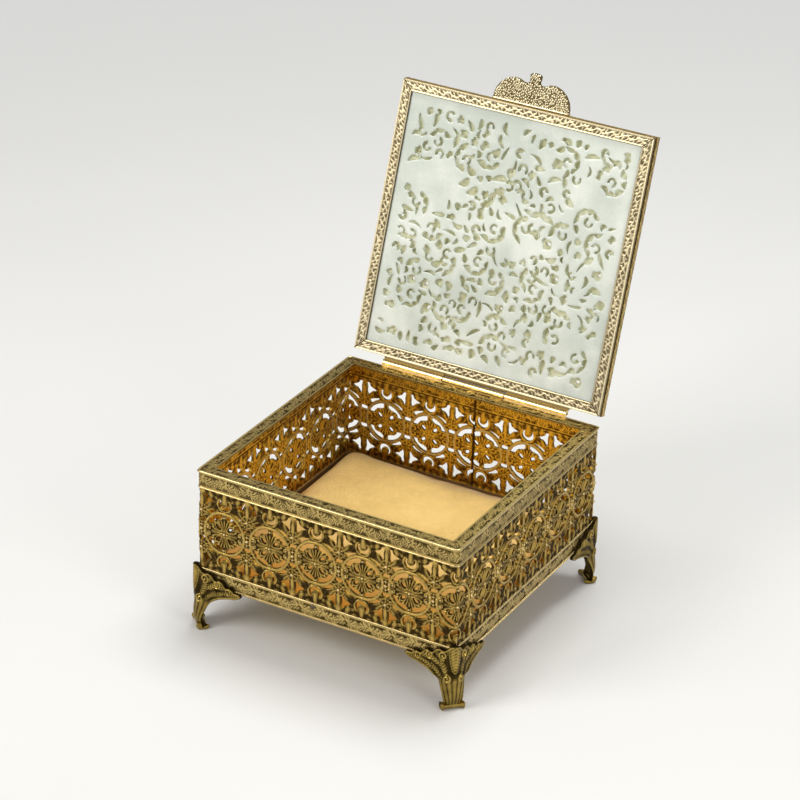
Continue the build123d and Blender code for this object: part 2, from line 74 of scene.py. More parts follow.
# Places on the casing, in millimetres, as in the part's own drawing
HALF = 63.5                 # middle to the bands' outer face
BEND = 1.8                  # outside bend of the wall strip
FLAT = HALF - BEND
STRIP = 2 * FLAT + math.pi / 2 * BEND       # strip length from the middle of one wall to the next
SEAM = 2.5                  # the strip's seam on the back wall
BAND_LOW, BAND_HIGH = 7.5, 47.0
LOW_BAND_MIDDLE, HIGH_BAND_MIDDLE = 3.75, 50.75
RIM_BOTTOM, RIM_TOP = 54.2, 55.0
RIM_WIDTH = 5.8
FIELD_MIDDLE = (BAND_LOW + BAND_HIGH) / 2
FLOOR = -21.7

# The stamping's repeat, with places from a ring's centre
REPEAT = 22.75
FIRST_RING = -4.5           # the front wall's middle to the centre of a ring
RING = 9.85                 # middle line of the ring round a medallion
ROSETTE_RISE = 9.2          # from the field's middle up or down to a rosette between two rings
CUP_RISE = 14.2             # and to the cup over a ring

# Places on the lid: u right, v from the hinge axis to the free edge, w out of the inner face
HINGE_Y, HINGE_Z = 64.9, 56.0
OPEN = math.radians(108.4)
LID_HALF_U, LID_HALF_V = 62.15, 62.2
LID_MIDDLE_V = 65.1
FACE_W = 0.9
PLAQUE_HALF_U, PLAQUE_HALF_V = 60.25, 60.3
PLAQUE_FACE_W, PLAQUE_BACK_W = -0.1, -4.1

SIDES = ("back", "right", "front", "left")
DIAGONAL = 1 / math.sqrt(2)

# Photographed view: turn round the box, height over it and roll in degrees, place in metres
VIEW_ANGLES = (29.08, 27.61, 1.67)
VIEW_PLACE = (0.60459, -1.08956, 0.72995)
PHOTO_WIDTH, FOCAL_PIXELS = 800, 3286.98
SENSOR = 36.0


# Heights and distances of shapes


def polygon_distance(x, y, points):
    """Distance to a closed outline, negative inside it."""
    best = np.full(np.shape(x), 1e9)
    inside = np.zeros(np.shape(x), bool)
    for (ax, ay), (bx, by) in zip(points, points[1:] + points[:1]):
        ex, ey = bx - ax, by - ay
        t = np.clip(((x - ax) * ex + (y - ay) * ey) / (ex * ex + ey * ey), 0, 1)
        best = np.minimum(best, (x - ax - t * ex) ** 2 + (y - ay - t * ey) ** 2)
        if ay != by:
            inside ^= ((ay > y) != (by > y)) & (x < ex * (y - ay) / ey + ax)
    return np.where(inside, -1, 1) * np.sqrt(best)


def mirrored(points):
    return [(-x, y) for x, y in points]


def wire(distance, half_width, height):
    """Round ridge over a line."""
    return height * np.sqrt(np.clip(1 - (distance / half_width) ** 2, 0, None))


def dome(x, z, cx, cz, radius, height):
    return wire(np.hypot(x - cx, z - cz), radius, height)


def step(low, high, value):
    """Smooth step from 0 at low to 1 at high."""
    t = np.clip((value - low) / (high - low), 0, 1)
    return t * t * (3 - 2 * t)


def leaf(x, z, cx, cz, angle, length, width, height, veins=0.0):
    """Pointed leaf with a midrib and slanting veins, centred at (cx, cz)."""
    c, s = math.cos(math.radians(angle)), math.sin(math.radians(angle))
    p = (x - cx) * c + (z - cz) * s
    q = -(x - cx) * s + (z - cz) * c
    half = width * np.clip(1 - (2 * p / length) ** 2, 0, 1) ** 0.75
    body = np.clip(1 - np.abs(q) / np.maximum(half, 1e-6), 0, 1)
    grain = 1.0
    if veins:
        grain = 0.74 + 0.26 * np.cos((p - 0.8 * np.abs(q)) * math.tau / veins)
    return height * np.sqrt(body) * grain * (1 - 0.25 * np.exp(-(q / 0.16) ** 2) * (veins > 0))


def curl(x, z, cx, cz, radius, way, height):
    """Rolled leaf tip: a round ridge on a spiral of one and a half turns that starts in a given direction."""
    reach = np.hypot(x - cx, z - cz)
    turn = (np.degrees(np.arctan2(z - cz, x - cx)) - way) % 360 / 360
    outer = np.abs(reach - radius * (1 - 0.52 * turn))
    inner = np.abs(reach - radius * 0.48 * (1 - 2.2 * turn))
    return wire(np.minimum(outer, inner), 0.17 * radius + 0.1, height) * (1 - 0.25 * turn)


def palmette(p, q, length, spread, ribs, height):
    """Fan of ribs along q from its base at 0."""
    reach = np.hypot(p, q)
    turn = np.arctan2(p, q)
    share = np.clip(np.cos(turn * math.pi / 2 / spread), 0, 1) * (np.abs(turn) < spread)
    outline = length * (0.45 + 0.55 * share ** 0.6) * (1 + 0.05 * np.cos(turn * ribs * 2))
    edge = np.clip(1 - (reach / np.maximum(outline, 1e-6)) ** 6, 0, 1) ** 0.5
    fluting = 0.55 + 0.45 * np.cos(turn * ribs * 2)
    return height * edge * fluting * np.clip(reach / 1.4, 0, 1) * (share > 0)


def strokes(phase, sharpness=0.6):
    """Row of cut strokes, from -1 in the cuts to 1 on the ridges."""
    wave = np.cos(phase)
    return np.sign(wave) * np.abs(wave) ** sharpness


def cuts(way, pitch):
    """Row of fine cut lines a pitch apart, -1 in the cuts and 1 between them."""
    return 1 - 2 * np.clip(-np.cos(way * math.tau / pitch), 0, 1) ** 1.5


def feathering(s, z, pitch, period, half):
    """Cut feathers that lean from a waving middle line and turn round at each half period."""
    turn = s * math.tau / period
    way = np.clip(2.2 * np.cos(turn), -1, 1)
    spine = 0.30 * half * np.sin(turn + 0.6)
    q = np.abs(z - spine)
    slant = (1.25 * q - 0.17 * q * q) * way
    slant = slant + 0.26 * np.sin(1.9 * z + 0.7 * s) + 0.20 * np.sin(2.3 * s + 1.1 * z)
    comb = cuts(s + slant, pitch)
    lobes = 0.62 + 0.38 * np.cos(s * math.tau / (period / 3) + np.sign(z - spine) * 1.2)
    veil = np.clip(1 - np.abs(q / (half * (0.65 + 0.45 * lobes))) ** 4, 0, 1)
    return comb * veil * (0.7 + 0.3 * lobes), spine


# The stamped strip

# Leaves as x, z, angle, length, width, height and pitch of the veins: from the line between two rings
ROSETTE_LEAVES = [(3.9, 11.6, 48, 4.0, 1.0, 0.5, 0.9), (5.4, 17.2, -18, 5.4, 1.35, 0.5, 1.0),
                  (8.6, 15.2, 62, 4.2, 0.8, 0.42), (2.8, 7.6, 20, 3.6, 0.8, 0.45, 0.8),
                  (0.0, 14.6, 90, 4.8, 1.25, 0.55)]
HORN = [(0.95, 17.9), (2.6, 17.8), (3.1, 16.3), (4.6, 15.5), (6.4, 14.7), (5.2, 13.8), (3.9, 13.5),
        (2.9, 12.6), (2.1, 11.2), (1.5, 12.2), (1.3, 13.4), (1.45, 15.0), (1.2, 16.4)]


def folded(x, z):
    """A place in one quarter of a repeat: from the ring, from the rosettes' line, and as reach and turn."""
    x = np.abs((x + REPEAT / 2) % REPEAT - REPEAT / 2)
    z = np.abs(z)
    return x, z, REPEAT / 2 - x, np.hypot(x, z), np.degrees(np.arctan2(z, x))


def petal_eye(x, z):
    """Share of the way out from the middle of the drop-shaped eye in a medallion's petal."""
    return np.hypot((x + z - 5.9) / math.sqrt(2) / 2.05, (x - z) / math.sqrt(2) / 1.15)


def filigree_metal(x, z):
    """Distance from the openings of the pierced field, positive in the metal; x, z from a ring's centre."""
    x, z, v, r, turn = folded(x, z)
    medallion = 6.95 + 0.4 * np.cos(np.radians(turn * 8)) * (turn > 20)
    crescent = np.maximum.reduce([r - (RING - 0.65), medallion - r, 3.4 - z, 1.0 - x])
    cup = np.maximum.reduce([np.hypot(x, z - CUP_RISE) - 2.9, 1.75 - np.hypot(x, z - CUP_RISE - 0.7),
                             z - 15.7 - 0.25 * x])
    sliver = np.maximum.reduce([r - 12.1 - 0.35 * np.sin(np.radians(turn * 9)), 10.8 - r,
                                r * np.sin(np.radians(45.0 - turn)), r * np.sin(np.radians(turn - 72.0))])
    window = np.maximum.reduce([v - 1.75, 3.6 - z, z - 5.9 + 0.25 * np.abs(v)])
    eye = 1.2 * (petal_eye(x, z) - 0.64)
    return np.minimum.reduce([crescent, cup, sliver, window, polygon_distance(v, z, HORN), eye])


def filigree_relief(x, z):
    """Height of the pierced field's ornament over its ground."""
    x, z, v, r, turn = folded(x, z)
    over = z - ROSETTE_RISE
    bloom, petals = np.hypot(v, over), np.arctan2(v, over)
    ground = np.where(r < 6.9, strokes(np.radians(turn) * 26 + 0.6 * r), strokes(petals * 15 + 1.2 * bloom))
    h = 0.20 + 0.13 * ground + 0.06 * np.sin(x * 7.1 + 2 * np.sin(z * 3.3)) * np.sin(z * 6.3)
    parts = [
        wire(r - RING, 0.68, 0.62),
        wire(np.hypot(x, z - CUP_RISE) - 3.35, 0.5, 0.5) * (z < 16.6),
        wire(z - 3.15, 0.32, 0.45) * (x > 5.2),
        palmette(x, z, 6.5, math.radians(58), 13, 0.52),
        palmette(z, x, 6.6, math.radians(33), 11, 0.46),
        leaf(x, z, 4.7, 5.0, 47, 2.6, 0.75, 0.5),
        dome(x, z, 2.9, 5.6, 0.75, 0.55),
        dome(x, z, 5.6, 2.4, 0.7, 0.5),
        *[leaf(v, z, *row) for row in ROSETTE_LEAVES],
        wire(v, 0.85, 0.45) * step(10.5, 12.5, z),
        dome(x, z, 0.0, 16.6, 2.5, 0.55) * (0.75 + 0.25 * np.cos(np.arctan2(x, z - 13.2) * 11)),
        wire(bloom - 2.75, 0.42, 0.4),
        0.5 * np.clip(1 - (bloom / 2.7) ** 4, 0, 1) * (0.6 + 0.4 * np.cos(petals * 6)),
        wire(np.hypot(v, z) - 2.0, 0.42, 0.42),
        wire(np.hypot(v - 3.3, z - 1.35) - 1.0, 0.36, 0.42),
        wire(z - 19.2, 0.5, 0.3),
        wire(filigree_metal(x, z) - 0.22, 0.3, 0.3),
    ]
    h = h + np.maximum.reduce(parts)
    eye = petal_eye(x, z)
    h = np.where(eye < 1, 0.16 - 0.2 * np.sqrt(np.clip(1 - eye ** 2, 0, 1)), h)
    h = np.maximum(h, wire((eye - 1.02) * 1.3, 0.34, 0.62))
    return np.maximum(h, dome(x, z, 0, 0, 0.95, 0.7))


def upper_band_relief(s, z):
    """Engraved feathers of the band under the rim; z from the band's middle."""
    comb = feathering(s + 2.0, z, 1.45, REPEAT / 2, 3.0)[0]
    h = 0.11 * comb + 0.03 * cuts(s * 1.9 - 1.2 * z, 1.9) * np.clip(2.9 - np.abs(z), 0, 1)
    return np.maximum(h, wire(np.abs(z) - 3.1, 0.26, 0.14)) - 0.09


def lower_band_relief(s, z):
    """Engraved leaf scroll of the band over the lower edge."""
    comb, spine = feathering(s - 1.5, z, 1.6, REPEAT / 2, 2.8)
    h = np.maximum(0.12 * comb, wire(z - spine, 0.26, 0.14))
    return np.maximum(h, wire(np.abs(z) - 2.95, 0.26, 0.14)) - 0.08


# Meshes from grids and sections


def linked_object(name, data):
    """An object of the given data, in the scene."""
    obj = bpy.data.objects.new(name, data)
    bpy.context.scene.collection.objects.link(obj)
    return obj


def new_mesh_object(name, points, faces, values=None, material=None, smooth=True, crease=32):
    """A mesh object from points in millimetres, with its face lists and named values for each point."""
    points = np.asarray(points, float)
    used = np.zeros(len(points), bool)
    for part in faces:
        used[np.asarray(part).ravel()] = True
    renumber = np.cumsum(used) - 1
    mesh = bpy.data.meshes.new(name)
    polygons = [row for part in faces for row in renumber[np.asarray(part)].tolist()]
    mesh.from_pydata((points[used] * MM).tolist(), [], polygons)
    for key, column in (values or {}).items():
        layer = mesh.attributes.new(key, "FLOAT", "POINT")
        layer.data.foreach_set("value", np.asarray(column, np.float32)[used])
    mesh.validate()
    if smooth:
        mesh.shade_smooth()
        mesh.set_sharp_from_angle(angle=math.radians(crease))
    if material:
        mesh.materials.append(material)
    return linked_object(name, mesh)


def outward(obj):
    """Turns every face of a closed shell outwards."""
    bm = bmesh.new()
    bm.from_mesh(obj.data)
    bmesh.ops.recalc_face_normals(bm, faces=bm.faces)
    bm.to_mesh(obj.data)
    bm.free()
    obj.data.set_sharp_from_angle(angle=math.radians(32))


def shape_object(name, bm):
    """An object of the shape built in bm, which is used up."""
    mesh = bpy.data.meshes.new(name)
    bm.to_mesh(mesh)
    bm.free()
    mesh.shade_smooth()
    return linked_object(name, mesh)


def clear_away(*objects):
    """Removes shapes that were only needed to make others."""
    for obj in objects:
        data = obj.data
        bpy.data.objects.remove(obj)
        (bpy.data.meshes if isinstance(data, bpy.types.Mesh) else bpy.data.curves).remove(data)


def finish_piece(obj, body, slot, *nodes):
    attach(obj, body)
    if nodes:
        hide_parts(*nodes)


def cut_grid(xs, ys, fields):
    """Grid points pulled on to the fields' outlines, and for each cell how many fields it is outside of."""
    x, y = np.meshgrid(xs, ys, indexing="ij")
    dx, dy = xs[1] - xs[0], ys[1] - ys[0]
    cx, cy = (x[:-1, :-1] + x[1:, 1:]) / 2, (y[:-1, :-1] + y[1:, 1:]) / 2
    layers = np.zeros(cx.shape, int)
    probe = 0.05
    for field in fields:
        out = field(cx, cy) < 0
        layers += out
        padded = np.pad(out, 1, mode="edge").astype(int)
        around = padded[:-1, :-1] + padded[1:, :-1] + padded[:-1, 1:] + padded[1:, 1:]
        edge = (around > 0) & (around < 4)
        px, py = x[edge], y[edge]
        for _ in range(2):
            d = field(px, py)
            gx = (field(px + probe, py) - field(px - probe, py)) / (2 * probe)
            gy = (field(px, py + probe) - field(px, py - probe)) / (2 * probe)
            size = np.maximum(gx * gx + gy * gy, 0.3)
            px = px - np.clip(d * gx / size, -0.5 * dx, 0.5 * dx)
            py = py - np.clip(d * gy / size, -0.5 * dy, 0.5 * dy)
        x[edge] = np.clip(px, x[edge] - 0.62 * dx, x[edge] + 0.62 * dx)
        y[edge] = np.clip(py, y[edge] - 0.62 * dy, y[edge] + 0.62 * dy)
    x[0], x[-1] = xs[0], xs[-1]
    y[:, 0], y[:, -1] = ys[0], ys[-1]
    return x, y, layers


def cell_faces(mask, shape, offset, flip=False):
    """Four-sided faces of the marked cells, over the copy of the grid that starts at offset."""
    i, j = np.nonzero(mask)
    a = i * shape[1] + j + offset
    quads = np.stack([a, a + shape[1], a + shape[1] + 1, a + 1], -1)
    return quads[:, ::-1] if flip else quads


def edge_walls(solid, shape, top, bottom, ends=(True, True)):
    """Walls from the top copy of the grid down to the bottom copy, round the marked cells. ends says for each
    of the grid's two ways whether its own ends get a wall."""
    padded = np.pad(solid, 1)
    if not ends[0]:
        padded[0, 1:-1], padded[-1, 1:-1] = solid[0], solid[-1]
    if not ends[1]:
        padded[1:-1, 0], padded[1:-1, -1] = solid[:, 0], solid[:, -1]
    faces = []
    for one, other, stride in ((padded[:-1, 1:-1], padded[1:, 1:-1], 1),
                               (padded[1:-1, 1:], padded[1:-1, :-1], shape[1])):
        for mask, order in ((one & ~other, (0, 2, 3, 1)), (~one & other, (0, 1, 3, 2))):
            i, j = np.nonzero(mask)
            a = i * shape[1] + j
            corners = [a + top, a + stride + top, a + bottom, a + stride + bottom]
            faces.append(np.stack([corners[k] for k in order], -1))
    return faces


def sheet_faces(solid, shape, offset=0, ends=(True, True)):
    """All faces of a sheet whose two sides are copies of the grid, the first one starting at offset."""
    other = offset + shape[0] * shape[1]
    return [cell_faces(solid, shape, offset), cell_faces(solid, shape, other, True),
            *edge_walls(solid, shape, offset, other, ends)]


def tube_faces(count, m):
    """Side faces and the two ends of a tube with count + 1 sections of m points each."""
    ring, start = np.arange(m), np.arange(count)[:, None] * m
    a, b = (start + ring).ravel(), (start + (ring + 1) % m).ravel()
    return [np.stack([a, b, b + m, a + m], -1), ring[None, :], (ring + count * m)[None, ::-1]]


def join_rings(bm, rings):
    """Faces between rings of points from the lowest up, with a face or a tip point at the top."""
    for lower, upper in zip(rings, rings[1:]):
        for k, point in enumerate(lower):
            after = (k + 1) % len(lower)
            over = upper if len(upper) == 1 else (upper[after], upper[k])
            bm.faces.new((point, lower[after], *over))
    bm.faces.new(rings[0][::-1])
    if len(rings[-1]) > 1:
        bm.faces.new(rings[-1])


def lid_point(u, v, w):
    """Points of the open lid in the box's frame."""
    u, v, w = np.broadcast_arrays(u, v, w)
    return np.stack([u, HINGE_Y - v * math.cos(OPEN) - w * math.sin(OPEN),
                     HINGE_Z + v * math.sin(OPEN) - w * math.cos(OPEN)], -1)


def lid_place(u, v, w):
    """The same for places given from the middle of the lid."""
    return lid_point(u, v + LID_MIDDLE_V, w)


def flat_place(u, v, level):
    return np.stack([u, v, level], -1)


def mitred_rail(name, side, half_u, half_v, section, pitch, relief, place, material):
    """One rail of a rectangular frame. section lists (inset, level, steps to the next corner); relief gives
    the height over the section, and its tone, from the length along the rail, the side of the section and the
    way along it, and the distance to the mitre."""
    points, normals, edges, ways = [], [], [], []
    corners = np.array([corner[:2] for corner in section])
    following = np.roll(corners, -1, axis=0)
    out = -np.sign(np.sum(corners[:, 0] * following[:, 1] - corners[:, 1] * following[:, 0]))
    for k, (inset, level, steps) in enumerate(section):
        dx, dy = following[k, 0] - inset, following[k, 1] - level
        size = math.hypot(dx, dy)
        for n in range(steps):
            points.append((inset + dx * n / steps, level + dy * n / steps))
            normals.append((-out * dy / size, out * dx / size))
            edges.append(k)
            ways.append(size * n / steps)
    inset, level = np.array(points).T
    normals = np.array(normals)
    half_along, half_across = (half_u, half_v) if side % 2 == 0 else (half_v, half_u)
    count = int(2 * half_along / pitch)
    share = np.linspace(-1, 1, count + 1)[:, None]
    along = share * (half_along - inset)
    to_mitre = half_along - np.abs(along) - inset
    # The tone darkens the rails' cuts and recesses: partly patina, partly painted shade.
    height, tone = relief(share * half_along, np.array(edges), np.array(ways), to_mitre)
    across = half_across - (inset + normals[:, 0] * height)
    level = level + normals[:, 1] * height
    u, v = {0: (-along, -across), 1: (across, -along), 2: (along, across), 3: (-across, along)}[side]
    obj = new_mesh_object(name, place(u, v, level).reshape(-1, 3), tube_faces(count, len(points)),
                          {"relief": tone.ravel()}, material)
    outward(obj)
    return obj


def mitred_frame(prefix, half_u, half_v, section, pitch, relief, place, finish, order=(0, 1, 2, 3)):
    """The four rails of a frame, each with the name of its side of the box."""
    return [(name, mitred_rail(prefix + name, side, half_u, half_v, section, pitch, relief, place,
                               finishes[finish])) for side, name in zip(order, SIDES)]


def casing_path(name):
    """The wall strip's course round the casing, from the seam at the back by the left, front and right."""
    nudge = 0.05
    points = [(SEAM, HALF)]
    for cx, cy, begin in ((-FLAT, FLAT, 90), (-FLAT, -FLAT, 180), (FLAT, -FLAT, 270), (FLAT, FLAT, 0)):
        turns = [math.radians(begin + 90 * k / 8) for k in range(9)]
        bend = [(cx + BEND * math.cos(turn), cy + BEND * math.sin(turn)) for turn in turns]
        (x, y), turn = bend[0], turns[0]
        before = (x + nudge * math.sin(turn), y - nudge * math.cos(turn))
        (x, y), turn = bend[-1], turns[-1]
        after = (x - nudge * math.sin(turn), y + nudge * math.cos(turn))
        points += [before, *bend, after]
    points.append((SEAM + 0.001, HALF))
    curve = bpy.data.curves.new(name, "CURVE")
    curve.dimensions = "3D"
    spline = curve.splines.new("POLY")
    spline.points.add(len(points) - 1)
    for point, (x, y) in zip(spline.points, points):
        point.co = (x * MM, y * MM, 0.0, 1)
    return linked_object(name, curve)


def small_ball(name, scale, subdivisions):
    """A ball of a few dozen faces, with its half sizes in millimetres."""
    bm = bmesh.new()
    bmesh.ops.create_icosphere(bm, subdivisions=subdivisions, radius=MM)
    bmesh.ops.scale(bm, vec=scale, verts=bm.verts)
    return shape_object(name, bm)


# Node trees


def node_group(name, tree_kind, inputs, outputs):
    """A node group with named sockets, its inputs' values and its output node."""
    group = bpy.data.node_groups.new(name, tree_kind)
    for direction, sockets in (("INPUT", inputs), ("OUTPUT", outputs)):
        for label, kind, *value in sockets:
            socket = group.interface.new_socket(label, in_out=direction, socket_type="NodeSocket" + kind)
            if value:
                socket.default_value = (*value[0], 1) if kind == "Color" else value[0]
    return group, group.nodes.new("NodeGroupInput").outputs, group.nodes.new("NodeGroupOutput")


def feed(tree, socket, value):
    """Links a value to a socket, or sets it there as a constant."""
    if isinstance(value, bpy.types.NodeSocket):
        tree.links.new(value, socket)
    else:
        socket.default_value = (*value, 1) if socket.type == "RGBA" else value


def set_inputs(tree, node, **values):
    """Feeds a node's inputs, named with _ for a space."""
    for key, value in values.items():
        feed(tree, node.inputs[key.replace("_", " ")], value)


def add_node(tree, kind, settings=None, **inputs):
    """A node of a tree, with its settings and inputs."""
    node = tree.nodes.new(kind)
    for key, value in (settings or {}).items():
        setattr(node, key, value)
    set_inputs(tree, node, **inputs)
    return node


def node_value(tree, kind, settings=None, **inputs):
    """The first output of a new node."""
    return add_node(tree, kind, settings, **inputs).outputs[0]


def math_node(tree, operation, a, b=0.0, kind="ShaderNodeMath"):
    node = add_node(tree, kind, {"operation": operation})
    feed(tree, node.inputs[0], a)
    feed(tree, node.inputs[1], b)
    return node.outputs[0]


def plus(tree, a, b):
    return math_node(tree, "ADD", a, b)


def minus(tree, a, b):
    return math_node(tree, "SUBTRACT", a, b)


def times(tree, a, b):
    return math_node(tree, "MULTIPLY", a, b)


def bake(obj, keep_layers=False):
    """Gives an object the mesh that its modifiers make of it, and removes them."""
    graph = bpy.context.evaluated_depsgraph_get()
    mesh = bpy.data.meshes.new_from_object(obj.evaluated_get(graph), preserve_all_data_layers=keep_layers,
                                           depsgraph=graph)
    obj.modifiers.clear()
    start = obj.data
    obj.data = mesh
    bpy.data.meshes.remove(start)
    return mesh


def run_tree(name, tree, values, crease=None):
    """Evaluates a tree with the given inputs, and returns its result as a plain mesh object."""
    carrier = linked_object(name, bpy.data.meshes.new(name + "_start"))
    modifier = carrier.modifiers.new("Maker", "NODES")
    modifier.node_group = tree
    for item in tree.interface.items_tree:
        if item.item_type == "SOCKET" and item.in_out == "INPUT" and item.name in values:
            modifier[item.identifier] = values[item.name]
    mesh = bake(carrier, keep_layers=True)
    mesh.name = name
    if not len(mesh.polygons):
        raise RuntimeError(name + " came out empty")
    if crease is not None:
        mesh.shade_smooth()
        mesh.set_sharp_from_angle(angle=math.radians(crease))
    return carrier


def geometry_tree(name, inputs):
    """A Geometry Nodes tree with named inputs and a material."""
    return node_group(name, "GeometryNodeTree", [*inputs, ("Material", "Material")],
                      [("Geometry", "Geometry")])


def end_tree(tree, given, result, geometry):
    """Last steps of every tree: real geometry, smooth faces and the material."""
    real = node_value(tree, "GeometryNodeRealizeInstances", Geometry=geometry)
    smooth = node_value(tree, "GeometryNodeSetShadeSmooth", Geometry=real)
    painted = node_value(tree, "GeometryNodeSetMaterial", Geometry=smooth, Material=given["Material"])
    set_inputs(tree, result, Geometry=painted)
    return tree


def object_shape(tree, chosen):
    return add_node(tree, "GeometryNodeObjectInfo", Object=chosen).outputs["Geometry"]


def copies_on(tree, points, chosen, **inputs):
    """Copies of a chosen object's shape on points."""
    shape = object_shape(tree, chosen)
    return node_value(tree, "GeometryNodeInstanceOnPoints", Points=points, Instance=shape, **inputs)


def raised_path(tree, given):
    """The given path, lifted to its height."""
    lift = node_value(tree, "ShaderNodeCombineXYZ", Z=given["Height"])
    path = object_shape(tree, given["Path"])
    return node_value(tree, "GeometryNodeSetPosition", Geometry=path, Offset=lift)


def strip_tree():
    """Repeats a flat unit along the wall strip, cuts it to one stretch and bends it round the casing."""
    tree, given, result = geometry_tree("stamped_strip", [
        ("Unit", "Object"), ("Path", "Object"), ("Repeat", "Float", REPEAT * MM), ("First", "Float", 0.0),
        ("Count", "Int", 1), ("Start", "Float", -1.0), ("End", "Float", 1.0), ("Path start", "Float", 0.0),
        ("Weld", "Float", 0.02 * MM)])
    first = node_value(tree, "ShaderNodeCombineXYZ", X=given["First"])
    pitch = node_value(tree, "ShaderNodeCombineXYZ", X=given["Repeat"])
    line = node_value(tree, "GeometryNodeMeshLine", Count=given["Count"], Start_Location=first, Offset=pitch)
    real = node_value(tree, "GeometryNodeRealizeInstances", Geometry=copies_on(tree, line, given["Unit"]))
    weld = node_value(tree, "GeometryNodeMergeByDistance", Geometry=real, Distance=given["Weld"])
    place = tree.nodes.new("GeometryNodeInputPosition").outputs[0]
    apart = add_node(tree, "ShaderNodeSeparateXYZ", Vector=place).outputs
    before = math_node(tree, "LESS_THAN", apart["X"], given["Start"])
    after = math_node(tree, "GREATER_THAN", apart["X"], given["End"])
    cut = node_value(tree, "GeometryNodeDeleteGeometry", {"domain": "FACE"}, Geometry=weld,
                     Selection=math_node(tree, "MAXIMUM", before, after))
    spot = add_node(tree, "GeometryNodeSampleCurve", {"mode": "LENGTH", "use_all_curves": False},
                    Curves=object_shape(tree, given["Path"]),
                    Length=minus(tree, apart["X"], given["Path start"])).outputs
    out = math_node(tree, "CROSS_PRODUCT", spot["Tangent"], (0, 0, 1), "ShaderNodeVectorMath")
    push = node_value(tree, "ShaderNodeVectorMath", {"operation": "SCALE"}, Vector=out, Scale=apart["Y"])
    moved = node_value(tree, "ShaderNodeCombineXYZ", Z=apart["Z"])
    for part in (spot["Position"], push):
        moved = math_node(tree, "ADD", moved, part, "ShaderNodeVectorMath")
    bent = node_value(tree, "GeometryNodeSetPosition", Geometry=cut, Position=moved)
    return end_tree(tree, given, result, bent)


def wire_tree():
    """A round bead line that follows a path."""
    tree, given, result = geometry_tree("bead_line", [
        ("Path", "Object"), ("Radius", "Float", 0.4 * MM), ("Height", "Float", 0.0)])
    ring = node_value(tree, "GeometryNodeCurvePrimitiveCircle", Resolution=10, Radius=given["Radius"])
    swept = node_value(tree, "GeometryNodeCurveToMesh", Curve=raised_path(tree, given), Profile_Curve=ring,
                       Fill_Caps=True)
    return end_tree(tree, given, result, swept)


def row_tree():
    """Copies of a small shape in a row along a path, turned to follow it."""
    tree, given, result = geometry_tree("row_on_path", [
        ("Path", "Object"), ("Shape", "Object"), ("Spacing", "Float", 1 * MM), ("Height", "Float", 0.0),
        ("Size", "Float", 1.0)])
    even = node_value(tree, "GeometryNodeResampleCurve", {"mode": "LENGTH"}, Curve=raised_path(tree, given),
                      Length=given["Spacing"])
    along = tree.nodes.new("GeometryNodeInputTangent").outputs[0]
    turn = node_value(tree, "FunctionNodeAxesToRotation", {"primary_axis": "Z", "secondary_axis": "X"},
                      Primary_Axis=(0, 0, 1), Secondary_Axis=along)
    return end_tree(tree, given, result,
                    copies_on(tree, even, given["Shape"], Rotation=turn, Scale=given["Size"]))


def pebble_tree():
    """Small domes scattered over the faces of a surface, with a fixed seed."""
    tree, given, result = geometry_tree("pebbles", [
        ("Surface", "Object"), ("Shape", "Object"), ("Spacing", "Float", 0.8 * MM),
        ("Density", "Float", 3.0e6), ("Smallest", "Float", 0.8), ("Largest", "Float", 1.2),
        ("Seed", "Int", 3)])
    spots = add_node(tree, "GeometryNodeDistributePointsOnFaces", {"distribute_method": "POISSON"},
                     Mesh=object_shape(tree, given["Surface"]), Distance_Min=given["Spacing"],
                     Density_Max=given["Density"], Seed=given["Seed"]).outputs
    size = add_node(tree, "FunctionNodeRandomValue", {"data_type": "FLOAT"}, Seed=given["Seed"])
    feed(tree, size.inputs[2], given["Smallest"])
    feed(tree, size.inputs[3], given["Largest"])
    return end_tree(tree, given, result, copies_on(tree, spots["Points"], given["Shape"],
                                                   Rotation=spots["Rotation"], Scale=size.outputs[1]))


def screw_tree():
    """One screw in the lower band of each wall, turned round the casing by quarter turns."""
    tree, given, result = geometry_tree("side_screws", [
        ("Screw", "Object"), ("Front offset", "Float", -5.5 * MM), ("Side offset", "Float", -3.9 * MM),
        ("Height", "Float", 5.8 * MM), ("Reach", "Float", HALF * MM)])
    join = tree.nodes.new("GeometryNodeJoinGeometry")
    for k in range(4):
        place = node_value(tree, "ShaderNodeCombineXYZ", X=given["Side offset" if k % 2 else "Front offset"],
                           Y=times(tree, given["Reach"], -1.0), Z=given["Height"])
        turned = node_value(tree, "ShaderNodeVectorRotate", {"rotation_type": "Z_AXIS"}, Vector=place,
                            Angle=k * math.pi / 2)
        spot = node_value(tree, "GeometryNodeMeshLine", Count=1, Start_Location=turned)
        copies = copies_on(tree, spot, given["Screw"], Rotation=(math.pi / 2, 0, k * math.pi / 2))
        tree.links.new(copies, join.inputs[0])
    return end_tree(tree, given, result, join.outputs[0])


# Materials


def mix_colour(tree, factor, a, b):
    node = add_node(tree, "ShaderNodeMix", {"data_type": "RGBA"})
    for index, value in ((0, factor), (6, a), (7, b)):
        feed(tree, node.inputs[index], value)
    return node.outputs[2]


def mix_shaders(tree, share, one, other):
    node = tree.nodes.new("ShaderNodeMixShader")
    for socket, value in zip(node.inputs, (share, one, other)):
        tree.links.new(value, socket)
    return node.outputs[0]


def object_place(tree):
    return tree.nodes.new("ShaderNodeTexCoord").outputs["Object"]


def point_value(tree, name):
    """A value that the mesh holds for each point."""
    return add_node(tree, "ShaderNodeAttribute", {"attribute_name": name}).outputs["Fac"]


def noise_node(tree, vector, scale, detail=3.0, rough=0.55):
    return node_value(tree, "ShaderNodeTexNoise", Vector=vector, Scale=scale, Detail=detail, Roughness=rough)


def ramp_value(tree, value, low, high, out_low=0.0, out_high=1.0):
    return node_value(tree, "ShaderNodeMapRange", {"interpolation_type": "SMOOTHSTEP"}, Value=value,
                      From_Min=low, From_Max=high, To_Min=out_low, To_Max=out_high)


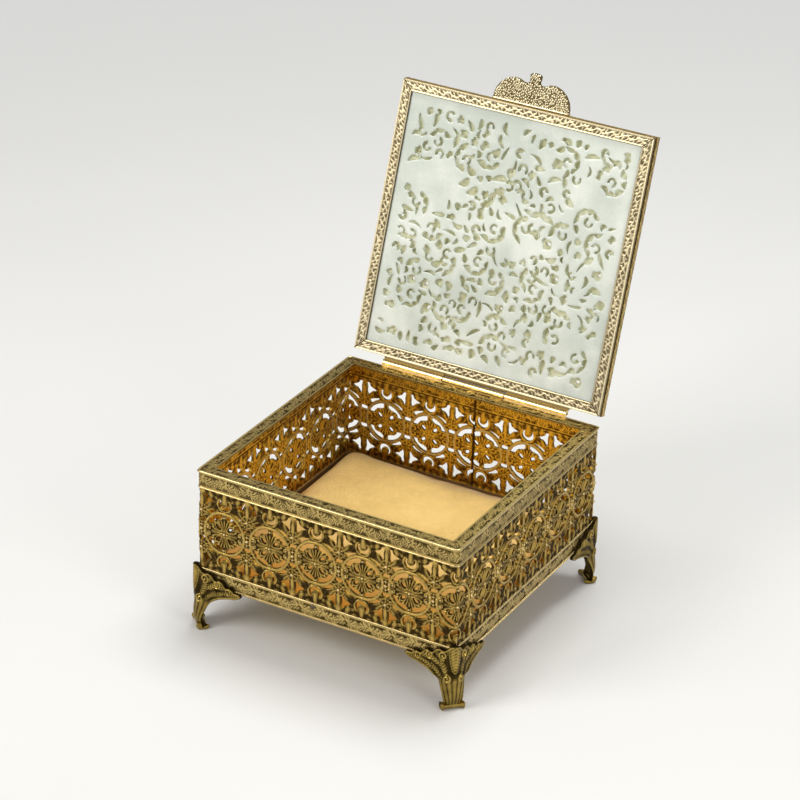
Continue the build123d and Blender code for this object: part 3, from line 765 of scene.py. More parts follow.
def output_node(tree, kind):
    return next(node for node in tree.nodes if node.type == kind)


def new_material(name):
    material = bpy.data.materials.new(name)
    material.use_nodes = True
    tree = material.node_tree
    tree.nodes.clear()
    shader = tree.nodes.new("ShaderNodeBsdfPrincipled")
    output = tree.nodes.new("ShaderNodeOutputMaterial")
    tree.links.new(shader.outputs[0], output.inputs[0])
    return material, tree, shader


def dent(tree, shader, height, strength, depth):
    """Small bumps of the given depth in millimetres on a shader's surface."""
    bump = node_value(tree, "ShaderNodeBump", Strength=strength, Distance=depth * MM, Height=height)
    set_inputs(tree, shader, Normal=bump)


def worn_gilt_group():
    """Gilt brass that is bright on its high places and brown in its recesses, partly patina and partly
    painted shade, with a mottled tarnish.
    """
    group, given, result = node_group("worn_gilt", "ShaderNodeTree", [
        ("Bright", "Color", (0.8, 0.66, 0.36)), ("Dark", "Color", (0.12, 0.08, 0.03)),
        ("Relief", "Float", 0.5), ("Mottle", "Float", 0.2), ("Scale", "Float", 300.0),
        ("Smoothness", "Float", 0.3)],
        [("Color", "Color"), ("Roughness", "Float"), ("Height", "Float")])
    place = object_place(group)
    broad = noise_node(group, place, given["Scale"], 4.0)
    fine = noise_node(group, place, times(group, given["Scale"], 7.0), 2.0)
    shift = times(group, minus(group, broad, 0.5), given["Mottle"])
    # The relief mask darkens the recesses: partly patina, partly painted shade. tarnish, its reverse, only
    # roughens them.
    mask = ramp_value(group, plus(group, given["Relief"], times(group, shift, 2.0)), 0.15, 0.95)
    tarnish = minus(group, 1.0, mask)
    rough = plus(group, given["Smoothness"], times(group, tarnish, 0.3))
    set_inputs(group, result, Color=mix_colour(group, mask, given["Dark"], given["Bright"]),
               Roughness=plus(group, rough, times(group, fine, 0.14)), Height=fine)
    return group


# Pale gilt painted along the rings inside the walls as a highlight.
RING_HIGHLIGHT_GILT = (0.62, 0.52, 0.30)
# Dark gilt of the walls' inner side: partly patina and partly painted shade in the recesses.
INNER_DARK = (0.13, 0.062, 0.008)


def gilt_material(name, group, bright, dark, relief, smoothness, mottle, scale, bump, inner=None):
    """Worn gilt brass; relief is a number, or the name of the point value that holds it. Inside the walls the
    gilding has the inner colour, a finer and stronger mottle, and a paler painted highlight along the rings."""
    material, tree, shader = new_material(name)
    node = add_node(tree, "ShaderNodeGroup", {"node_tree": group}, Bright=bright, Dark=dark, Mottle=mottle,
                    Scale=scale, Smoothness=smoothness,
                    Relief=point_value(tree, relief) if isinstance(relief, str) else relief)
    if inner:
        inside = point_value(tree, "inside")
        high = mix_colour(tree, inside, bright, inner)
        # A painted highlight along the rings inside the walls.
        set_inputs(tree, node, Bright=mix_colour(tree, point_value(tree, "painted_ring_highlight"), high, RING_HIGHLIGHT_GILT),
                   Dark=mix_colour(tree, inside, dark, INNER_DARK),
                   Mottle=plus(tree, times(tree, inside, 0.5), mottle),
                   Scale=plus(tree, times(tree, inside, 500.0), scale))
    set_inputs(tree, shader, Base_Color=node.outputs["Color"], Roughness=node.outputs["Roughness"],
               Metallic=1.0)
    dent(tree, shader, node.outputs["Height"], bump, 0.2)
    return material


def polish_knuckles(material):
    """Dulls the hinge's gilding away from the axis, so that only the knuckles are polished, and paints shade
    into the gaps between the knuckles.
    """
    tree = material.node_tree
    place = add_node(tree, "ShaderNodeSeparateXYZ", Vector=object_place(tree)).outputs
    across = minus(tree, place["Y"], HINGE_Y * MM)
    rise = minus(tree, place["Z"], HINGE_Z * MM)
    squares = plus(tree, math_node(tree, "POWER", across, 2.0), math_node(tree, "POWER", rise, 2.0))
    shine = ramp_value(tree, math_node(tree, "SQRT", squares), 1.38 * MM, 1.45 * MM, 0.95, 0.35)
    along = minus(tree, math_node(tree, "ABSOLUTE", place["X"]), 15.6 * MM)
    # Painted shade where the knuckles meet.
    knuckle_gap_shade = ramp_value(tree, math_node(tree, "ABSOLUTE", along), 0.18 * MM, 0.34 * MM)
    set_inputs(tree, output_node(tree, "GROUP"), Relief=times(tree, shine, knuckle_gap_shade))


def jade_material(colour):
    """Pale polished nephrite, cloudy on its face and olive down its carved sides, partly the stone's colour
    and partly painted shade that darkens deep in the carving.
    """
    material, tree, shader = new_material("pale_jade")
    place, depth = object_place(tree), point_value(tree, "depth")
    cloud = noise_node(tree, place, 22.0, 4.0, 0.6)
    wisp = noise_node(tree, place, 90.0, 5.0, 0.65)
    grain = noise_node(tree, place, 1400.0, 2.0)
    face = mix_colour(tree, ramp_value(tree, cloud, 0.35, 0.68), (0.55, 0.605, 0.53), colour)
    face = mix_colour(tree, ramp_value(tree, wisp, 0.45, 0.75, 0.0, 0.45), face, (0.84, 0.86, 0.80))
    side = mix_colour(tree, ramp_value(tree, wisp, 0.3, 0.7), (0.58, 0.57, 0.32), (0.76, 0.76, 0.54))
    # depth carries partly the stone's olive tone and partly painted shade, which darkens deep in the carving.
    low = ramp_value(tree, depth, 0.05, 0.55)
    deep = ramp_value(tree, depth, 0.75, 1.0, 0.0, 0.45)
    carved = mix_colour(tree, deep, mix_colour(tree, low, face, side), (0.20, 0.19, 0.09))
    rough = plus(tree, ramp_value(tree, grain, 0.3, 0.7, 0.26, 0.38), times(tree, low, 0.2))
    set_inputs(tree, shader, Base_Color=carved, Roughness=rough, IOR=1.61, Subsurface_Weight=0.12,
               Subsurface_Radius=(0.5, 0.55, 0.4), Subsurface_Scale=2 * MM, Coat_Weight=0.25,
               Coat_Roughness=0.12)
    dent(tree, shader, grain, 0.12, 0.3)
    return material


def weave_group():
    """Short pile over a fine plain weave, with darker flecks, and a painted orange shade, for light bounced
    off the gilding, at the front and down the sides.
    """
    group, given, result = node_group("pile_weave", "ShaderNodeTree", [
        ("Light", "Color", (0.80, 0.60, 0.29)), ("Shade", "Color", (0.66, 0.43, 0.14)),
        # Side is the painted orange shade at the pad's front and down its sides, below the height Shoulder.
        ("Side", "Color", (0.60, 0.27, 0.035)), ("Shoulder", "Float", 0.0), ("Threads", "Float", 1050.0)],
        [("Color", "Color"), ("Height", "Float")])
    place = object_place(group)
    axes = add_node(group, "ShaderNodeSeparateXYZ", Vector=place).outputs
    turn = times(group, given["Threads"], math.tau)
    warp, weft = (math_node(group, "SINE", times(group, axes[key], turn)) for key in ("X", "Y"))
    pile = noise_node(group, place, 1300.0, 4.0, 0.75)
    patch = noise_node(group, place, 45.0, 4.0, 0.6)
    fleck = noise_node(group, place, 900.0, 1.0)
    level = plus(group, times(group, times(group, warp, weft), 0.30), pile)
    tone = plus(group, level, times(group, minus(group, patch, 0.5), 0.8))
    under = minus(group, given["Shoulder"], axes["Z"])
    colour = mix_colour(group, ramp_value(group, tone, 0.25, 0.72), given["Shade"], given["Light"])
    # After the flecks, the painted orange shade: towards the front, and under the shoulder.
    for share, other in ((ramp_value(group, fleck, 0.70, 0.78, 0.0, 0.5), (0.36, 0.27, 0.17)),
                         (ramp_value(group, axes["Y"], -42 * MM, -8 * MM, 0.8, 0.0), given["Side"]),
                         (ramp_value(group, under, 0.0, 3 * MM), given["Side"])):
        colour = mix_colour(group, share, colour, other)
    set_inputs(group, result, Color=colour, Height=level)
    return group


def velvet_material(colour):
    material, tree, shader = new_material("tan_velvet")
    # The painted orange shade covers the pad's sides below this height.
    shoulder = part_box("velvet_pad")[1][2] - 1.6 * MM
    node = add_node(tree, "ShaderNodeGroup", {"node_tree": weave_group()}, Light=colour, Shoulder=shoulder)
    set_inputs(tree, shader, Base_Color=node.outputs["Color"], Roughness=0.95, Specular_IOR_Level=0.1,
               Sheen_Weight=0.35, Sheen_Roughness=0.4)
    dent(tree, shader, node.outputs["Height"], 0.35, 0.3)
    return material


def card_material():
    material, tree, shader = new_material("grey_card")
    fibre = noise_node(tree, object_place(tree), 500.0, 4.0)
    set_inputs(tree, shader, Base_Color=mix_colour(tree, fibre, (0.38, 0.34, 0.28), (0.55, 0.50, 0.42)),
               Roughness=0.9)
    dent(tree, shader, fibre, 0.2, 0.2)
    return material


finishes = {}


def make_finishes():
    """Every material of the box, made once."""
    finish = bpy.context.scene.keepsake_finish
    group = worn_gilt_group()
    bright, dark, inner = tuple(finish.bright_gilt), tuple(finish.dark_gilt), tuple(finish.inner_gilt)
    # Bright and dark colour, relief, smoothness, mottle and its scale, strength of the dents, inner colour
    # The dark colours stand partly for patina and partly for painted shade in the recesses.
    gilt = {
        "wall_gilt": (bright, dark, "relief", 0.22, 0.26, 260.0, 0.45, inner),
        "band_gilt": ((0.56, 0.41, 0.145), dark, "relief", 0.24, 0.24, 260.0, 0.4, inner),
        "bead_gilt": ((0.80, 0.62, 0.29), (0.16, 0.10, 0.03), 0.80, 0.18, 0.35, 400.0, 0.15),
        "rim_gilt": ((0.57, 0.415, 0.14), (0.035, 0.022, 0.006), "relief", 0.24, 0.2, 300.0, 0.15),
        "foot_gilt": ((0.47, 0.33, 0.082), (0.022, 0.013, 0.003), "relief", 0.19, 0.2, 300.0, 0.3),
        "bezel_gilt": ((0.66, 0.56, 0.35), (0.06, 0.042, 0.016), "relief", 0.26, 0.14, 300.0, 0.15),
        "rail_gilt": ((0.70, 0.50, 0.16), (0.05, 0.03, 0.007), "relief", 0.24, 0.2, 300.0, 0.15),
        "thumb_gilt": ((0.84, 0.73, 0.46), (0.10, 0.07, 0.02), "relief", 0.24, 0.2, 300.0, 0.15),
        "pebble_gilt": ((0.88, 0.79, 0.56), (0.24, 0.17, 0.06), 0.8, 0.22, 0.3, 300.0, 0.15),
        "knuckle_gilt": ((0.93, 0.76, 0.38), (0.20, 0.12, 0.03), 0.9, 0.14, 0.03, 120.0, 0.01),
        "base_gilt": ((0.72, 0.55, 0.27), (0.28, 0.19, 0.07), 0.6, 0.32, 0.3, 120.0, 0.15),
        "pin_metal": ((0.42, 0.35, 0.24), (0.10, 0.08, 0.05), 0.5, 0.3, 0.3, 500.0, 0.15),
        "screw_metal": ((0.30, 0.25, 0.17), (0.05, 0.04, 0.03), 0.5, 0.28, 0.3, 700.0, 0.15),
    }
    for name, look in gilt.items():
        finishes[name] = gilt_material(name, group, *look)
    polish_knuckles(finishes["knuckle_gilt"])
    finishes["jade"] = jade_material(finish.jade)
    finishes["velvet"] = velvet_material(finish.velvet)
    finishes["card"] = card_material()


def length_property(name, description, default):
    return FloatProperty(name=name, description=description, default=default, min=0.1 * MM, max=3 * MM,
                         subtype="DISTANCE", unit="LENGTH", precision=5)


def colour_property(name, description, default):
    return FloatVectorProperty(name=name, description=description, default=default, subtype="COLOR", size=3,
                               min=0, max=1)


class KeepsakeSizes(bpy.types.PropertyGroup):
    """Sizes of the finished pieces"""

    wall_cell: length_property("Wall detail", "Size of the pierced field's mesh cells", 0.29 * MM)
    band_cell: length_property("Band detail", "Size of the engraved bands' mesh cells", 0.29 * MM)
    bead_radius: length_property("Bead line radius", "Radius of the round lines by the bands", 0.42 * MM)
    rope_spacing: length_property("Rope pitch", "From one strand of the ropes to the next", 0.95 * MM)
    pad_swell: length_property("Pad swell", "How far the pad's velvet may rise as it fills", 2.2 * MM)
    hole_count: IntProperty(name="Carved holes", description="How many holes the plaque's carver tried",
                            default=2600, min=0, max=6000)
    carving_seed: IntProperty(name="Carving seed", description="Fixed seed of the plaque's carving",
                              default=11)


class KeepsakeFinish(bpy.types.PropertyGroup):
    """Colours of the finished pieces"""

    bright_gilt: colour_property("Bright gilt", "Gilding on the high places outside", (0.50, 0.335, 0.085))
    # Dark gilt stands partly for patina and partly for painted shade in the recesses.
    dark_gilt: colour_property("Dark gilt", "Gilding in the recesses outside", (0.045, 0.027, 0.007))
    inner_gilt: colour_property("Inner gilt", "Gilding on the walls' inner side", (0.84, 0.54, 0.07))
    jade: colour_property("Jade", "Jade's polished face", (0.78, 0.825, 0.74))
    velvet: colour_property("Velvet", "Velvet's lit pile", (0.97, 0.68, 0.25))


class KEEPSAKE_OT_stage(bpy.types.Operator):
    """Makes the floor, the lights and the camera"""

    bl_idname = "keepsake.stage"
    bl_label = "Stage"

    half_floor = 4000
    far_colour = (0.83, 0.83, 0.82)
    # Name, place and aim in millimetres, size in millimetres, power and colour
    lamps = [
        ("key", (-620, -900, 820), (0, 0, 40), 560, 7.4, (1.0, 0.97, 0.92)),
        ("plaque_sheen", (-560, -1080, 260), (0, 90, 120), 330, 0.8, (1.0, 1.0, 1.0)),
        ("side", (900, -320, 420), (0, 0, 30), 420, 2.6, (1.0, 0.96, 0.9)),
        ("top", (60, 260, 980), (0, 0, 20), 520, 6.4, (1.0, 0.99, 0.96)),
    ]

    def execute(self, context):
        context.scene.view_settings.view_transform = "Standard"
        self.lay_floor()
        self.light(context.scene)
        self.look(context.scene)
        return {"FINISHED"}

    def lay_floor(self):
        """A pale floor that fades into the far colour, and is clear when it is seen from below."""
        corners = [(x * self.half_floor, y * self.half_floor, FLOOR)
                   for x, y in ((-1, -1), (1, -1), (1, 1), (-1, 1))]
        floor = new_mesh_object("floor", corners, [np.array([[0, 1, 2, 3]])], smooth=False)
        material, tree, shader = new_material("pale_floor")
        place = object_place(tree)
        tone = ramp_value(tree, noise_node(tree, place, 3.0), 0.3, 0.7)
        set_inputs(tree, shader, Base_Color=mix_colour(tree, tone, (0.78, 0.78, 0.77), (0.80, 0.80, 0.79)),
                   Roughness=0.7)
        far = add_node(tree, "ShaderNodeVectorMath", {"operation": "LENGTH"}, Vector=place).outputs["Value"]
        seen = tree.nodes.new("ShaderNodeLightPath").outputs["Is Camera Ray"]
        pale = node_value(tree, "ShaderNodeEmission", Color=self.far_colour)
        clear = node_value(tree, "ShaderNodeBsdfTransparent")
        under = tree.nodes.new("ShaderNodeNewGeometry").outputs["Backfacing"]
        surface = shader.outputs[0]
        for share, other in ((ramp_value(tree, far, 0.25, 1.5), pale), (under, clear)):
            surface = mix_shaders(tree, times(tree, share, seen), surface, other)
        set_inputs(tree, output_node(tree, "OUTPUT_MATERIAL"), Surface=surface)
        floor.data.materials.append(material)

    def light(self, scene):
        world = bpy.data.worlds.new("studio")
        scene.world = world
        world.use_nodes = True
        sky = world.node_tree
        lit = sky.nodes["Background"]
        set_inputs(sky, lit, Color=(0.86, 0.87, 0.88), Strength=0.42)
        shown = node_value(sky, "ShaderNodeBackground", Color=self.far_colour, Strength=1.0)
        seen = sky.nodes.new("ShaderNodeLightPath").outputs["Is Camera Ray"]
        surface = mix_shaders(sky, seen, lit.outputs[0], shown)
        set_inputs(sky, output_node(sky, "OUTPUT_WORLD"), Surface=surface)
        for name, place, aim, size, power, colour in self.lamps:
            light = bpy.data.lights.new(name, "AREA")
            light.shape = "SQUARE"
            light.size = size * MM
            light.energy = power
            light.color = colour
            lamp = linked_object(name, light)
            lamp.location = Vector([c * MM for c in place])
            direction = lamp.location - Vector([c * MM for c in aim])
            lamp.rotation_euler = direction.to_track_quat("Z", "Y").to_euler()

    def look(self, scene):
        azimuth, elevation, roll = (math.radians(angle) for angle in VIEW_ANGLES)
        back = np.array([math.sin(azimuth) * math.cos(elevation), -math.cos(azimuth) * math.cos(elevation),
                         math.sin(elevation)])
        right = np.array([math.cos(azimuth), math.sin(azimuth), 0.0])
        up = np.cross(back, right)
        across = right * math.cos(roll) + up * math.sin(roll)
        upward = -right * math.sin(roll) + up * math.cos(roll)
        camera = bpy.data.cameras.new("camera")
        camera.sensor_width = SENSOR
        camera.lens = FOCAL_PIXELS / PHOTO_WIDTH * SENSOR
        camera.clip_start, camera.clip_end = 0.05, 20.0
        viewer = linked_object("camera", camera)
        rows = [[across[k], upward[k], back[k], VIEW_PLACE[k]] for k in range(3)]
        viewer.matrix_world = Matrix(rows + [[0, 0, 0, 1]])
        scene.camera = viewer


class KEEPSAKE_OT_walls(bpy.types.Operator):
    """Makes the pierced field of the four walls from one repeat of the stamping"""

    bl_idname = "keepsake.walls"
    bl_label = "Pierced walls"

    seam_gap = 0.08

    def execute(self, context):
        sizes = context.scene.keepsake_sizes
        units = [(self.field_unit(sizes), "", "wall_gilt"), (self.band_unit(sizes), "_bands", "band_gilt"),
                 (self.bead_unit(), "_beads", "bead_gilt")]
        path = casing_path("wall_course")
        tree = strip_tree()
        half, end = STRIP / 2, 2 * STRIP
        parts = [("wall_front", -half, half), ("wall_right", half, 3 * half), ("wall_left", -3 * half, -half),
                 ("wall_back_right", 3 * half, end - SEAM - self.seam_gap),
                 ("wall_back_left", -end - SEAM + self.seam_gap, -3 * half)]
        for name, low, high in parts:
            back = name.startswith("wall_back")
            first = math.floor((low - FIRST_RING) / REPEAT - 0.5)
            count = math.ceil((high - FIRST_RING) / REPEAT + 0.5) - first + 1
            for unit, suffix, finish in units:
                made = run_tree(name + suffix, tree, {
                    "Path": path, "Repeat": REPEAT * MM, "Path start": -(end + SEAM) * MM, "Unit": unit,
                    "Material": finishes[finish], "Count": count, "First": (FIRST_RING + REPEAT * first) * MM,
                    "Start": low * MM, "End": high * MM}, 40)
                if back and suffix != "_beads":
                    self.paint_seam_shade(made)
                nodes = [] if suffix else ["wall_back" if back else name]
                finish_piece(made, "body", "wall_brass", *nodes)
        clear_away(*[unit for unit, suffix, finish in units], path)
        return {"FINISHED"}

    def grid(self, low, high, cell):
        """Places of a grid over one repeat, from the height low to high."""
        columns, rows = int(round(REPEAT * MM / cell)), int(round((high - low) * MM / cell))
        return np.linspace(-REPEAT / 2, REPEAT / 2, columns + 1), np.linspace(low, high, rows + 1)

    def field_unit(self, sizes):
        """One repeat of the pierced field, which lies a little behind the bands."""
        xs, ys = self.grid(BAND_LOW, BAND_HIGH, sizes.wall_cell)
        x, y, layers = cut_grid(xs, ys, [lambda s, z: filigree_metal(s, z - FIELD_MIDDLE)])
        height = filigree_relief(x, y - FIELD_MIDDLE)
        fade = step(0, 0.8, y - BAND_LOW) * step(0, 0.8, BAND_HIGH - y)
        height = height * (0.35 + 0.65 * fade)
        front = flat_place(x, -0.55 + 0.85 * height, y).reshape(-1, 3)
        back = flat_place(x, -1.12 - 0.42 * height, y).reshape(-1, 3)
        outer, inner = np.zeros(x.size), np.ones(x.size)
        # The tone darkens the recesses: partly patina, partly painted shade.
        tone = ((height - 0.17) / 0.56).ravel()
        # Inside the walls the rings get a painted highlight.
        off_ring = np.abs(np.hypot(x, y - FIELD_MIDDLE).ravel() - RING)
        values = {"relief": np.concatenate([tone, tone * 0.8 + 0.2]),
                  "inside": np.concatenate([outer, inner]),
                  "painted_ring_highlight": np.concatenate([outer, np.clip(1.3 - off_ring / 0.55, 0, 1)])}
        return new_mesh_object("wall_unit", np.concatenate([front, back]),
                               sheet_faces(layers == 0, x.shape, ends=(False, False)), values, smooth=False)

    def band_unit(self, sizes):
        """One repeat of the two engraved bands, over and under the field."""
        points, faces, relief, inside = [], [], [], []
        total = 0
        for low, high, engraving, middle in ((0.0, BAND_LOW, lower_band_relief, LOW_BAND_MIDDLE),
                                             (BAND_HIGH, RIM_BOTTOM, upper_band_relief, HIGH_BAND_MIDDLE)):
            x, y = np.meshgrid(*self.grid(low, high, sizes.band_cell), indexing="ij")
            height = engraving(x, y - middle)
            points.append(flat_place(x, height, y).reshape(-1, 3))
            points.append(flat_place(x, -1.2 - 0.5 * height, y).reshape(-1, 3))
            solid = np.ones((x.shape[0] - 1, x.shape[1] - 1), bool)
            faces += sheet_faces(solid, x.shape, total, (False, True))
            # The tone darkens the engraved cuts: partly patina, partly painted shade.
            relief += [0.72 + 5.4 * height.ravel()] * 2
            inside += [np.zeros(x.size), np.ones(x.size)]
            total += 2 * x.size
        values = {"relief": np.concatenate(relief), "inside": np.concatenate(inside)}
        return new_mesh_object("band_unit", np.concatenate(points), faces, values, smooth=False)

    def bead_unit(self):
        """The small round beads of one repeat: the centres of rings and rosettes and those between."""
        edge = REPEAT / 2
        spots = [(0, 0, 0.62, 0.02), (edge, 0, 0.75, 0.0)]
        for side in (1, -1):
            spots += [(edge, ROSETTE_RISE * side, 0.72, 0.0), (edge, 1.95 * side, 0.42, -0.1),
                      (0, 8.0 * side, 0.45, -0.15)]
            for way in (1, -1):
                spots += [(edge + 1.55 * way, 1.2 * side, 0.42, -0.1),
                          (edge + 3.3 * way, 1.35 * side, 0.46, -0.1)]
        bm = bmesh.new()
        for x, z, radius, out in spots:
            spot = Matrix.Translation((x * MM, out * MM, (z + FIELD_MIDDLE) * MM))
            bmesh.ops.create_icosphere(bm, subdivisions=2, radius=radius * MM, matrix=spot)
        bmesh.ops.reverse_faces(bm, faces=bm.faces)
        return shape_object("bead_unit", bm)

    def paint_seam_shade(self, obj):
        """Paints shade on the strip's two ends where they meet, for the narrow gap between them."""
        mesh = obj.data
        place = np.empty(len(mesh.vertices) * 3)
        mesh.vertices.foreach_get("co", place)
        away = np.abs(place[0::3] / MM - SEAM)
        tone = np.empty(len(mesh.vertices))
        relief = mesh.attributes["relief"].data
        relief.foreach_get("value", tone)
        relief.foreach_set("value", np.where((away < 0.5) & (place[1::3] > 0), -0.6, tone))


class KEEPSAKE_OT_bead_lines(bpy.types.Operator):
    """Makes the round lines between the bands and the rope along the lower edge"""

    bl_idname = "keepsake.bead_lines"
    bl_label = "Bead lines"

    def execute(self, context):
        sizes = context.scene.keepsake_sizes
        path = casing_path("line_course")
        common = {"Path": path, "Material": finishes["bead_gilt"]}
        line = wire_tree()
        for name, height, share in (("line_over_lower_band", BAND_LOW, 0.75),
                                    ("line_under_upper_band", BAND_HIGH, 0.85),
                                    ("line_on_rim", RIM_TOP - 0.35, 1.05)):
            made = run_tree(name, line, {**common, "Radius": sizes.bead_radius * share,
                                         "Height": height * MM}, 60)
            finish_piece(made, "body", "wall_brass")
        strand = small_ball("strand", (0.85, 0.42, 0.36), 2)
        strand.data.transform(Matrix.Rotation(math.radians(-42), 4, "Y"))
        row = row_tree()
        for name, height, size in (("rope_on_lower_edge", 0.42, 1.0),
                                   ("rope_over_lower_band", BAND_LOW, 0.8)):
            made = run_tree(name, row, {**common, "Shape": strand, "Spacing": sizes.rope_spacing,
                                        "Height": height * MM, "Size": size})
            finish_piece(made, "body", "wall_brass")
        clear_away(strand, path)
        return {"FINISHED"}


class KEEPSAKE_OT_rim(bpy.types.Operator):
    """Makes the flat engraved rim strip on top of the walls"""

    bl_idname = "keepsake.rim"
    bl_label = "Rim strip"

    def execute(self, context):
        section = [(RIM_WIDTH, RIM_TOP, 19), (0.0, RIM_TOP, 2), (0.0, RIM_BOTTOM, 4),
                   (RIM_WIDTH, RIM_BOTTOM, 2)]
        for side, obj in mitred_frame("rim_", HALF, HALF, section, 0.32, self.engraving, flat_place,
                                      "rim_gilt", (2, 1, 0, 3)):
            finish_piece(obj, "body", "rim_brass", *(["top_rim"] if side == "back" else []))
        solder = self.solder()
        outward(solder)
        finish_piece(solder, "body", "rim_brass")
        return {"FINISHED"}

    def engraving(self, along, edge, way, to_mitre):
        z = way - RIM_WIDTH / 2
        comb, spine = feathering(along, z, 2.0, 11.4, 2.2)
        h = np.maximum(0.12 * comb, wire(z - spine, 0.3, 0.12))
        h = np.maximum(h, wire(np.abs(z) - 2.45, 0.3, 0.13))
        h = h * np.clip(np.abs(to_mitre) / 0.6, 0, 1)
        return np.where(edge == 0, h - 0.1, 0), np.where(edge == 0, 0.25 + 5.4 * h, 0.6)

    def solder(self):
        """Small bright run of solder over the rim's seam at the back."""
        turns = np.linspace(0, math.pi, 9)
        ys = np.linspace(HALF - 5.6, HALF - 0.3, 12)
        widths = 0.35 + 0.5 * np.clip((ys - (HALF - 2.2)) / 1.9, 0, 1)
        points = [(-0.5 + w * math.cos(t), y, RIM_TOP - 0.09 + 0.12 * math.sin(t)) for y, w in zip(ys, widths)
                  for t in turns]
        return new_mesh_object("rim_seam_solder", points, tube_faces(len(ys) - 1, len(turns)),
                               material=finishes["bead_gilt"])


class KEEPSAKE_OT_screws(bpy.types.Operator):
    """Makes the four dome-headed side screws"""

    bl_idname = "keepsake.screws"
    bl_label = "Side screws"

    # Radius and height from the shank's end up to the head's top
    profile = [(0.75, -2.4), (0.75, -0.05), (1.15, 0.0), (1.08, 0.22), (0.85, 0.46), (0.45, 0.62),
               (0.0, 0.66)]

    def execute(self, context):
        turns = [k * math.tau / 20 for k in range(20)]
        bm = bmesh.new()
        rings = [[bm.verts.new((radius * MM * math.cos(turn), radius * MM * math.sin(turn), height * MM))
                  for turn in (turns if radius else turns[:1])] for radius, height in self.profile]
        join_rings(bm, rings)
        screw = shape_object("screw_shape", bm)
        made = run_tree("side_screws", screw_tree(),
                        {"Screw": screw, "Material": finishes["screw_metal"]}, 40)
        finish_piece(made, "body", "screw_metal", "base_screws")
        clear_away(screw)
        return {"FINISHED"}


